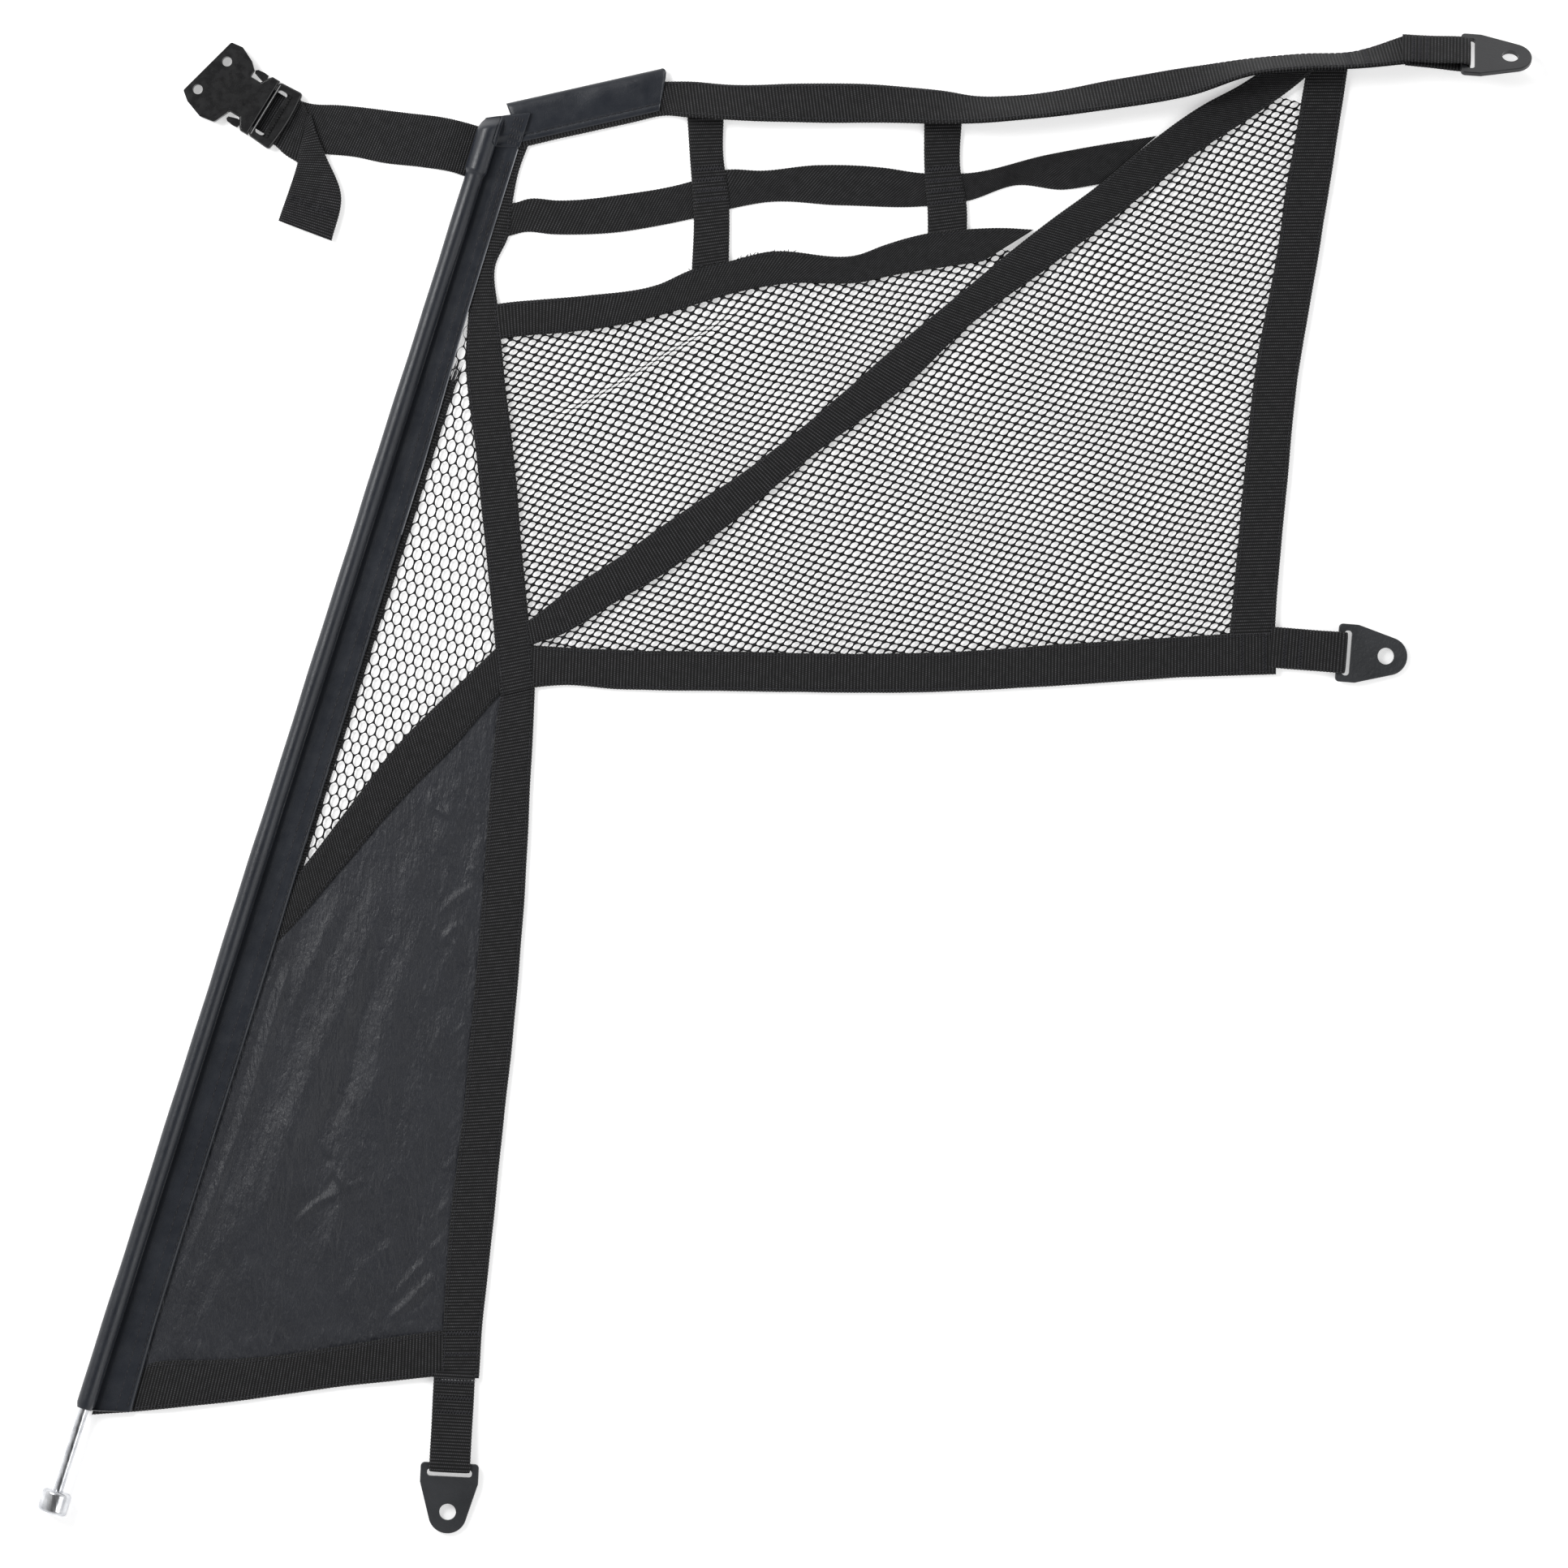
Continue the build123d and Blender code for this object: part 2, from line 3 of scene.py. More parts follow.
import bmesh
import bpy
import numpy as np
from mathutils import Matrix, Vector


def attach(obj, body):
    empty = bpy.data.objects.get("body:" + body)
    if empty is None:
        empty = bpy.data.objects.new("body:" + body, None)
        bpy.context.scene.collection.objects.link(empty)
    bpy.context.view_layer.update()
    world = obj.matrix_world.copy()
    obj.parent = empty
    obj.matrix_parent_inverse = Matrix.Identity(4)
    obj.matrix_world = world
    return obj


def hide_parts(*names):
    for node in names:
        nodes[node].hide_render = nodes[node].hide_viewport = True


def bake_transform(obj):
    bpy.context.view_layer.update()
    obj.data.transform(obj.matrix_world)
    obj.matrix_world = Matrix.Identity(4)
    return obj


# Side net of an off-road vehicle. Design points are in millimetres, in the same frame as the
# CAD part, and every mesh is scaled to metres as it is made.

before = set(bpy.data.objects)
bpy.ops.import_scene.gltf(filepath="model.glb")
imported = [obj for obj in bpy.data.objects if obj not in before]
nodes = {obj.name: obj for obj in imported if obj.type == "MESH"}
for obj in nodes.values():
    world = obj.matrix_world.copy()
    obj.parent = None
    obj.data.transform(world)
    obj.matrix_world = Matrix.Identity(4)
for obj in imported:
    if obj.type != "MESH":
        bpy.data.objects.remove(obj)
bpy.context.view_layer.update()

MM = 0.001
WEB = 1.4                      # thickness of one layer of webbing
PITCH = 1.95                   # spacing of the ribs across the webbing
FINE_PITCH = 1.55              # the same on the buckle's webbing
RIB = 0.2                      # how far a rib stands out
STATIONS = 4                   # points along the webbing for each rib
# heights of the middle of the back webbing, of the mesh and of the front webbing
BACK_MID, CORE_MID, FRONT_MID = 0.7, 2.1, 3.5

# The rod's axis starts at the sleeve's mouth and leans this far from the y axis.
LEAN = radians(17.55)
MOUTH = np.array((-419.5, -374.9))
RIGHT = np.array((cos(LEAN), -sin(LEAN)))
UP = np.array((sin(LEAN), cos(LEAN)))
ROD_Z = 9.0
FOLD_D = 28.2                  # the net folds this far from the rod's axis
# where the strap enters the buckle, and the buckle's turn
BUCKLE_MOUTH = np.array((-311.95, 405.75))
BUCKLE_TURN = radians(-31.5)
dice = np.random.default_rng(11)


# ---- places ---------------------------------------------------------------------------------
def on_sleeve(d, s, *z):
    """The point this far right of the rod's axis and up from the sleeve's mouth."""
    return (*(MOUTH + d * RIGHT + s * UP), *z)


def on_buckle(x, y, *z):
    """The point this far into the buckle, and this far from its middle line."""
    along = np.array((cos(BUCKLE_TURN), sin(BUCKLE_TURN)))
    return (*(BUCKLE_MOUTH + x * along + y * np.array((-along[1], along[0]))), *z)


def unit(v):
    return v / np.maximum(np.linalg.norm(v, axis=-1, keepdims=True), 1e-9)


def spline(points, count):
    """Evenly spaced points on a smooth line through these, as cubic Hermite stretches."""
    p = np.asarray(points, float)
    t = np.concatenate([[0], np.cumsum(np.linalg.norm(np.diff(p, axis=0), axis=1))])
    if len(p) > 2:
        m = np.gradient(p, t, axis=0)
        q = np.linspace(0, t[-1], 24 * len(p))
        k = np.clip(np.searchsorted(t, q, side="right") - 1, 0, len(p) - 2)
        h = (t[k + 1] - t[k])[:, None]
        x = (q - t[k])[:, None] / h
        p = (
            (2 * x**3 - 3 * x**2 + 1) * p[k]
            + (x**3 - 2 * x**2 + x) * h * m[k]
            + (3 * x**2 - 2 * x**3) * p[k + 1]
            + (x**3 - x**2) * h * m[k + 1]
        )
        t = np.concatenate([[0], np.cumsum(np.linalg.norm(np.diff(p, axis=0), axis=1))])
    u = np.linspace(0, t[-1], count)
    return np.stack([np.interp(u, t, p[:, i]) for i in range(p.shape[1])], 1)


def length_of(points):
    return float(np.linalg.norm(np.diff(np.asarray(points, float), axis=0), axis=1).sum())


def at_height(points, z):
    """The points in space. Those with two coordinates lie at z."""
    return [(p[0], p[1], p[2] if len(p) > 2 else z) for p in points]


def upward(count):
    """Normals that point out of the net's face."""
    return np.repeat([[0, 0, 1.0]], count, 0)


def smooth(a, b, x):
    """Rises from 0 at a to 1 at b, and is level at both."""
    t = np.clip((x - a) / (b - a), 0, 1)
    return t * t * (3 - 2 * t)


# ---- meshes ---------------------------------------------------------------------------------
def mesh_object(name, points, faces, material, weave=None, second=None):
    """weave is the place in the cloth's weave, and second is another material and which faces
    have it."""
    mesh = bpy.data.meshes.new(name)
    mesh.from_pydata((np.asarray(points, float) * MM).tolist(), [], faces)
    if weave is not None:
        mesh.attributes.new("weave", "FLOAT_VECTOR", "POINT").data.foreach_set(
            "vector", np.asarray(weave, np.float32).ravel()
        )
    bm = bmesh.new()
    bm.from_mesh(mesh)
    bmesh.ops.recalc_face_normals(bm, faces=bm.faces)
    bm.to_mesh(mesh)
    bm.free()
    mesh.polygons.foreach_set("use_smooth", np.ones(len(mesh.polygons), bool))
    obj = bpy.data.objects.new(name, mesh)
    bpy.context.scene.collection.objects.link(obj)
    mesh.materials.append(material)
    if second is not None:
        other, chosen = second
        mesh.materials.append(other)
        mesh.polygons.foreach_set("material_index", np.asarray(chosen, np.int32))
    return obj


def loft_faces(rings, around, cap=True):
    """Faces between rings of points that each close on themselves."""
    i, k = np.meshgrid(np.arange(rings - 1), np.arange(around), indexing="ij")
    n = (k + 1) % around
    faces = np.stack(
        [i * around + k, i * around + n, (i + 1) * around + n, (i + 1) * around + k], -1
    ).reshape(-1, 4).tolist()
    if cap:
        faces.append(list(range(around)))
        faces.append(list(range((rings - 1) * around, rings * around)))
    return faces


def grid_faces(rows, columns):
    """Faces between the points of a grid, which are listed row by row."""
    i, j = np.meshgrid(np.arange(rows - 1), np.arange(columns - 1), indexing="ij")
    first = (i * columns + j).ravel()
    return np.stack([first, first + 1, first + columns + 1, first + columns], 1)


# Places round a ribbon's section, from -1 to 1 across it, and which of its sides each is on:
# 1 for the face, -1 for the back and 0 for an edge.
ACROSS = np.array([-1, -0.94, -0.8, -0.5, -0.2, 0.2, 0.5, 0.8, 0.94, 1, 0.8, 0.35, -0.35, -0.8])
SIDE = np.array([0, 1, 1, 1, 1, 1, 1, 1, 1, 0, -1, -1, -1, -1])


def ribbon(
    name, edge_a, edge_b, material, z=FRONT_MID, settle=0.5, pitch=PITCH, shift=0.0, side=None
):
    """Woven webbing between two edges. settle is how far its edges draw towards the layer
    behind, shift moves it off its own middle, and side 1 or -1 chooses which way it faces."""
    a3, b3 = at_height(edge_a, z), at_height(edge_b, z)
    ribs = max(3, round((length_of(a3) + length_of(b3)) / 2 / pitch))
    count = STATIONS * ribs + 1
    a, b = spline(a3, count), spline(b3, count)
    centre, span = (a + b) / 2, b - a
    half = np.linalg.norm(span, axis=1, keepdims=True) / 2
    across = unit(span)
    run = unit(np.gradient(centre, axis=0))
    normal = unit(np.cross(across, run))
    if side is None:
        side = -1 if normal[:, 2].mean() < 0 else 1
    normal = normal * side
    centre = centre + normal * shift
    travel = np.concatenate([[0], np.cumsum(np.linalg.norm(np.diff(centre, axis=0), axis=1))])
    rib = np.cos(2 * pi * np.arange(count) / STATIONS)[:, None]
    wave = 0.12 * np.sin(travel / 17 + len(name)) + 0.08 * np.sin(travel / 7.3 + 2 * len(name))
    width = half + 0.14 * rib + wave[:, None]
    domed = WEB / 2 * (1 - 0.5 * ACROSS**8) + RIB * rib * (1 - 0.4 * ACROSS**4)
    lift = SIDE * domed - settle * np.abs(ACROSS) ** 5
    points = (
        centre[:, None]
        + across[:, None] * (width * ACROSS)[:, :, None]
        + normal[:, None] * lift[:, :, None]
    )
    around = len(ACROSS)
    weave = np.zeros((count, around, 3))
    weave[:, :, 0] = np.arange(count)[:, None] / STATIONS
    weave[:, :, 1] = half * ACROSS
    obj = mesh_object(
        name, points.reshape(-1, 3), loft_faces(count, around), material, weave.reshape(-1, 3)
    )
    return obj, {"centre": centre, "across": across, "half": half, "normal": normal}


def on_face(face, v, start=0.0, end=1.0, lift=WEB / 2 + 0.16, settle=0.5):
    """A line that runs along a ribbon's face, at v from -1 to 1 across it, and its normals."""
    last = len(face["centre"]) - 1
    i = slice(int(start * last), int(end * last) + 1)
    up = lift - settle * abs(v) ** 5
    line = face["centre"] + face["across"] * face["half"] * v + face["normal"] * up
    return line[i], face["normal"][i]


# a short thread: places along it, its radius there, and its number of sides
RING_T = np.array([0.0, 0.16, 0.5, 0.84, 1.0])
RING_R = np.array([0.35, 0.85, 1.0, 0.85, 0.35])
THREAD_SIDES = 6


def stitches(name, rows, material, length=2.7, gap=0.8, wide=0.3, high=0.26):
    """Rows of short threads. Each row is a line of points and the face's normals there."""
    starts, ends, ups = [], [], []
    for line, normals in rows:
        line, normals = np.asarray(line, float), np.asarray(normals, float)
        total = length_of(line)
        count = max(1, int(total / (length + gap)))
        t = np.concatenate([[0], np.cumsum(np.linalg.norm(np.diff(line, axis=0), axis=1))])
        s = (np.arange(count) + 0.15) * total / count
        for p, shift in ((starts, 0), (ends, length)):
            p.append(np.stack([np.interp(s + shift, t, line[:, i]) for i in range(3)], 1))
        ups.append(np.stack([np.interp(s, t, normals[:, i]) for i in range(3)], 1))
    start, end, up = (np.concatenate(x) for x in (starts, ends, ups))
    return threads(name, start, end, up, material, wide, high)


def threads(name, start, end, up, material, wide=0.3, high=0.26):
    """Short threads between two lists of points, as one piece."""
    run = end - start
    side = unit(np.cross(run, up))
    angle = 2 * pi * np.arange(THREAD_SIDES) / THREAD_SIDES
    ring = RING_R[None, :, None, None] * (
        wide * np.cos(angle)[None, None, :, None] * side[:, None, None]
        + high * np.sin(angle)[None, None, :, None] * unit(up)[:, None, None]
    )
    points = start[:, None, None] + RING_T[None, :, None, None] * run[:, None, None] + ring
    one = loft_faces(len(RING_T), THREAD_SIDES)
    size = len(RING_T) * THREAD_SIDES
    faces = [[j + size * k for j in f] for k in range(len(start)) for f in one]
    return mesh_object(name, points.reshape(-1, 3), faces, material)


# ---- materials --------------------------------------------------------------------------------
def material(name, colour, roughness, **sockets):
    mat = bpy.data.materials.new(name)
    mat.use_nodes = True
    shader = mat.node_tree.nodes["Principled BSDF"]
    shader.inputs["Base Color"].default_value = (*colour, 1)
    shader.inputs["Roughness"].default_value = roughness
    for socket, value in sockets.items():
        shader.inputs[socket.replace("_", " ")].default_value = value
    return mat


def add_node(mat, kind, inputs=(), **settings):
    node = mat.node_tree.nodes.new(kind)
    for key, value in settings.items():
        setattr(node, key, value)
    for socket, value in dict(inputs).items():
        if isinstance(value, bpy.types.NodeSocket):
            mat.node_tree.links.new(value, node.inputs[socket])
        else:
            node.inputs[socket].default_value = value
    return node


def maths(mat, operation, a, b=0.0):
    return add_node(mat, "ShaderNodeMath", {0: a, 1: b}, operation=operation).outputs[0]


def connect(mat, output, socket):
    mat.node_tree.links.new(output, mat.node_tree.nodes["Principled BSDF"].inputs[socket])


def noise(mat, scale, detail=3.0, roughness=0.55, stretch=None):
    """stretch is a rotation and a scale of the object's own space."""
    place = add_node(mat, "ShaderNodeTexCoord").outputs["Object"]
    if stretch:
        place = add_node(
            mat, "ShaderNodeMapping", {"Vector": place, "Rotation": stretch[0], "Scale": stretch[1]}
        ).outputs[0]
    node = add_node(
        mat,
        "ShaderNodeTexNoise",
        {"Vector": place, "Scale": scale, "Detail": detail, "Roughness": roughness},
    )
    return node.outputs["Fac"]


def blend_colours(mat, factor, low, high):
    """From the low colour to the high one. The mix node's colour sockets are found by number,
    because its number and colour sockets have the same names."""
    node = add_node(mat, "ShaderNodeMix", {"Factor": factor}, data_type="RGBA")
    node.inputs[6].default_value = (*low, 1)
    node.inputs[7].default_value = (*high, 1)
    return node.outputs[2]


def bump(mat, height, distance, strength=1.0, under=None):
    inputs = {"Height": height, "Distance": distance, "Strength": strength}
    if under is not None:
        inputs["Normal"] = under
    return add_node(mat, "ShaderNodeBump", inputs).outputs[0]


def ranged(mat, value, low, high, to_low=0.0, to_high=1.0):
    """A value between low and high, moved to the range that the last two give."""
    return add_node(
        mat,
        "ShaderNodeMapRange",
        {"Value": value, "From Min": low, "From Max": high, "To Min": to_low, "To Max": to_high},
    ).outputs[0]


def woven(name, dark, light, pick=1.25, roughness=0.72):
    """Nylon webbing: picks of yarn catch the light on the crest of each rib."""
    mat = material(name, dark, roughness, Specular_IOR_Level=0.28, Sheen_Weight=0.05)
    weave = add_node(mat, "ShaderNodeAttribute", attribute_name="weave").outputs["Vector"]
    split = add_node(mat, "ShaderNodeSeparateXYZ", {0: weave})
    rib = maths(mat, "COSINE", maths(mat, "MULTIPLY", split.outputs[0], 2 * pi))
    row = maths(mat, "FLOOR", maths(mat, "ADD", split.outputs[0], 0.5))
    turn = maths(mat, "MULTIPLY", row, pi)
    pick_turn = maths(mat, "ADD", maths(mat, "MULTIPLY", split.outputs[1], 2 * pi / pick), turn)
    dot = maths(mat, "COSINE", pick_turn)
    crest = ranged(mat, rib, 0.0, 0.95)
    spots = ranged(mat, dot, -0.55, 0.75)
    shine = maths(mat, "ADD", maths(mat, "MULTIPLY", spots, 0.75), 0.25)
    mixed = maths(mat, "MULTIPLY", crest, shine)
    uneven = ranged(mat, noise(mat, 260, 4.0), 0.3, 0.75, 0.35, 1.0)
    connect(mat, blend_colours(mat, maths(mat, "MULTIPLY", mixed, uneven), dark, light), "Base Color")
    fibres = maths(mat, "MULTIPLY", noise(mat, 2600, 2.0), 0.35)
    height = maths(mat, "ADD", maths(mat, "MULTIPLY", mixed, 0.8), fibres)
    connect(mat, bump(mat, height, 0.00022), "Normal")
    return mat


def grained(name, low, high, roughness, grain=2200.0, depth=0.00008, **sockets):
    """A coated or moulded surface with a fine grain and slow changes of tone."""
    mat = material(name, low, roughness, **sockets)
    tone = ranged(mat, noise(mat, 34, 4.0), 0.3, 0.7)
    connect(mat, blend_colours(mat, tone, low, high), "Base Color")
    fine, coarse = noise(mat, grain, 3.0), noise(mat, grain / 5, 2.0)
    height = maths(mat, "ADD", fine, maths(mat, "MULTIPLY", coarse, 0.8))
    connect(mat, bump(mat, height, depth), "Normal")
    gloss = ranged(mat, noise(mat, grain / 12, 3.0), 0.3, 0.7, roughness - 0.05, roughness + 0.07)
    connect(mat, gloss, "Roughness")
    return mat


webbing_mat = woven("webbing", (0.0014, 0.0014, 0.0017), (0.085, 0.085, 0.09))
buckle_webbing_mat = woven("buckle_webbing", (0.0014, 0.0014, 0.0018), (0.1, 0.1, 0.107), 1.35)
vinyl_mat = grained("vinyl", (0.0105, 0.0128, 0.0185), (0.015, 0.018, 0.025), 0.36, 1500, 0.00009)
# painted highlight: a light colour for the raised cut edge of the sleeve's flange
edge_highlight_mat = grained("vinyl_painted_edge_highlight", (0.16, 0.17, 0.19), (0.36, 0.37, 0.4), 0.6)
nylon_mat = grained(
    "coated_nylon", (0.0085, 0.0098, 0.0145), (0.0125, 0.0142, 0.02), 0.46, 1900, 0.00004,
)
# fine crumples that run with the long folds
crumple = noise(nylon_mat, 120, 5.0, 0.62, stretch=((0, 0, -LEAN), (1, 0.3, 1)))
sharp = maths(nylon_mat, "ABSOLUTE", maths(nylon_mat, "SUBTRACT", crumple, 0.5))
grain_bump = next(n for n in nylon_mat.node_tree.nodes if n.type == "BUMP").outputs[0]
connect(nylon_mat, bump(nylon_mat, sharp, 0.0035, 0.8, grain_bump), "Normal")
yarn_mat = grained(
    "knitted_yarn", (0.0035, 0.0035, 0.004), (0.016, 0.016, 0.018), 0.7, 1700, 0.00014,
    Specular_IOR_Level=0.22,
)
thread_mat = grained(
    "sewing_thread", (0.004, 0.004, 0.007), (0.014, 0.014, 0.019), 0.5, 2500, 0.00006
)
worn_thread_mat = grained("worn_thread", (0.35, 0.35, 0.36), (0.6, 0.6, 0.62), 0.7)
plastic_mat = grained(
    "buckle_plastic", (0.0055, 0.0055, 0.006), (0.0075, 0.0075, 0.0082), 0.27, 2600, 0.00003
)
cap_mat = grained("cap_plastic", (0.012, 0.012, 0.013), (0.02, 0.02, 0.022), 0.5)
gloss_coat_mat = grained(
    "gloss_powder_coat", (0.012, 0.0125, 0.014), (0.018, 0.0185, 0.021), 0.3, 700, 0.00005
)
hammered_mat = grained(
    "hammered_powder_coat", (0.022, 0.0235, 0.026), (0.034, 0.036, 0.04), 0.36, 520, 0.0003
)

plated_mat = material("zinc_plate", (0.62, 0.63, 0.65), 0.2, Metallic=1.0)
streaks = noise(plated_mat, 900, 2.0, stretch=((0, 0, -LEAN), (1, 0.05, 1)))
connect(plated_mat, ranged(plated_mat, streaks, 0.3, 0.7, 0.14, 0.32), "Roughness")
tarnish = ranged(plated_mat, noise(plated_mat, 120, 4.0), 0.35, 0.7)
bright_to_dull = blend_colours(plated_mat, tarnish, (0.72, 0.73, 0.75), (0.42, 0.43, 0.46))
connect(plated_mat, bright_to_dull, "Base Color")
connect(plated_mat, bump(plated_mat, streaks, 0.00003), "Normal")

for label, mat in (
    ("rod", plated_mat),
    ("rod_foot", plated_mat),
    ("rod_end_cap", cap_mat),
    ("bolt_tab_top_rear", gloss_coat_mat),
    ("bolt_tab_lower_rear", hammered_mat),
    ("bolt_tab_bottom", hammered_mat),
    ("buckle_socket", plastic_mat),
    ("buckle_frame", plastic_mat),
    ("buckle_prong_upper", plastic_mat),
    ("buckle_prong_lower", plastic_mat),
):
    data = nodes[label].data
    if not data.materials:
        data.materials.append(mat)
    for i in range(len(nodes[label].material_slots)):
        nodes[label].material_slots[i].material = mat


def place(obj, body, slot, *replaced):
    """body is a CAD body, or "fold" for what bends where the net folds beside the sleeve."""
    if body == "fold":
        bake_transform(obj)
    else:
        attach(obj, body)
    if replaced:
        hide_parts(*replaced)
    return obj


def sewn(name, faces, body="net", lines=(-0.84, 0.84), **kw):
    """Lines of stitches along straps, near both edges."""
    rows = [on_face(f, v, **kw) for f in faces for v in lines]
    return place(stitches(name, rows, thread_mat, wide=0.27, high=0.22), body, "webbing")


def bartack(face, at, reach=0.86, pitch=0.9, width=2.6):
    """The close zigzag sewn across a strap, as start points, end points and normals."""
    last = len(face["centre"]) - 1
    k = int(np.clip(at * last, 1, last - 1))
    half, normal = face["half"][k], face["normal"][k]
    run = unit(face["centre"][k + 1] - face["centre"][k - 1])
    steps = int(2 * reach * half[0] / pitch)
    v = np.linspace(-reach, reach, steps + 1)[:, None]
    zigzag = np.where(np.arange(steps + 1) % 2 == 0, -width / 2, width / 2)[:, None]
    lift = WEB / 2 + 0.24 - 0.5 * np.abs(v) ** 5
    line = face["centre"][k] + face["across"][k] * half * v + run * zigzag + normal * lift
    return line[:-1], line[1:], np.repeat(normal[None], steps, 0)


def bartacks(name, face, places, body="net"):
    """Several bartacks on one strap, as one piece."""
    ends = (np.concatenate(x) for x in zip(*(bartack(face, at) for at in places)))
    return place(threads(name, *ends, thread_mat, 0.3, 0.25), body, "webbing")


# ---- flat straps ------------------------------------------------------------------------------
# Each strap is two edges, as points with x, y and, where it leaves its own layer, z.
SEAM_D = FOLD_D + 0.4
MESH_EDGE_UPPER = [
    (-174, 288.2, 2.7), (-167, 289.2, 3.5), (-118, 293.4), (-75.3, 300), (-54.4, 309.3), (-31.5, 314.3),
    (-12, 319.3), (46.8, 318.5), (60, 323.5), (86, 330.7), (108.3, 333), (134, 334), (150.5, 333),
]
MESH_EDGE_LOWER = [
    (-171.5, 267, 2.7), (-164, 268.2, 3.5), (-132.8, 271), (-97.3, 276), (-68, 283.2), (-25, 296),
    (1, 300.6), (46.8, 301.3), (66, 305.5), (94, 310.2), (120, 314),
]
BOTTOM_UPPER = [
    (-153, 83.4, 2.6), (-144, 82.8, 3.5), (-100, 80.7), (-31.7, 79.5), (91.7, 79), (163.4, 83.6),
    (237.4, 88.4), (296, 91.8),
]
BOTTOM_LOWER = [
    (-154, 57.4, 2.6), (-145, 58.6, 3.5), (-134, 59.4, 3.5), (-100, 57), (-31.7, 55.9), (54.4, 54.8),
    (110.4, 56), (185, 60.4), (241, 64), (296, 66),
]
REAR_LEFT = [
    (315, 434), (308, 389.8), (302, 357), (297.5, 324.6), (282, 236.8), (277.5, 190), (272.8, 139.8),
    (268.4, 92, 3.4), (268, 86, 2.7),
]
REAR_RIGHT = [
    (340, 434), (334.8, 401.7), (330.3, 371.8), (323, 326), (308.3, 236.8), (303.6, 190), (299, 139.8),
    (295.4, 93.5, 3.4), (295, 87, 2.7),
]
HEM_UPPER = [
    on_sleeve(5, 28, 1.1), on_sleeve(25, 36, 1.2), on_sleeve(34, 40, 2.9), (-330, -345.6, 3.4),
    (-207.5, -328.6), (-201, -327.8, 2.6),
]
HEM_LOWER = [
    on_sleeve(5, -2.8, 1.1), on_sleeve(25, 5, 1.2), on_sleeve(34, 9, 2.9), (-328, -370.7, 3.4),
    (-262, -361.6), (-207.5, -355.9), (-201, -355.3, 2.6),
]

# The doubled straps. The hem's back layer stops short of the sleeve.
HEM_BACK_UPPER_X, HEM_BACK_LOWER_X = -395, -392
straps = {}
for label, upper, lower, body, replaced in (
    ("mesh_edge", MESH_EDGE_UPPER, MESH_EDGE_LOWER, "net", []),
    ("bottom", BOTTOM_UPPER, BOTTOM_LOWER, "net", []),
    ("rear", REAR_LEFT, REAR_RIGHT, "net", []),
    ("hem", HEM_UPPER, HEM_LOWER, "fold", ["hem_strap_front_end"]),
):
    obj, straps[label] = ribbon(f"webbing_{label}_front", upper, lower, webbing_mat, FRONT_MID)
    place(obj, body, "webbing", f"{label}_strap", *replaced)
    obj, _ = ribbon(
        f"webbing_{label}_back",
        [(*p[:2], BACK_MID) for p in upper if p[0] > HEM_BACK_UPPER_X],
        [(*p[:2], BACK_MID) for p in lower if p[0] > HEM_BACK_LOWER_X],
        webbing_mat, BACK_MID, settle=-0.5,
    )
    place(obj, body, "webbing", f"{label}_strap_back")

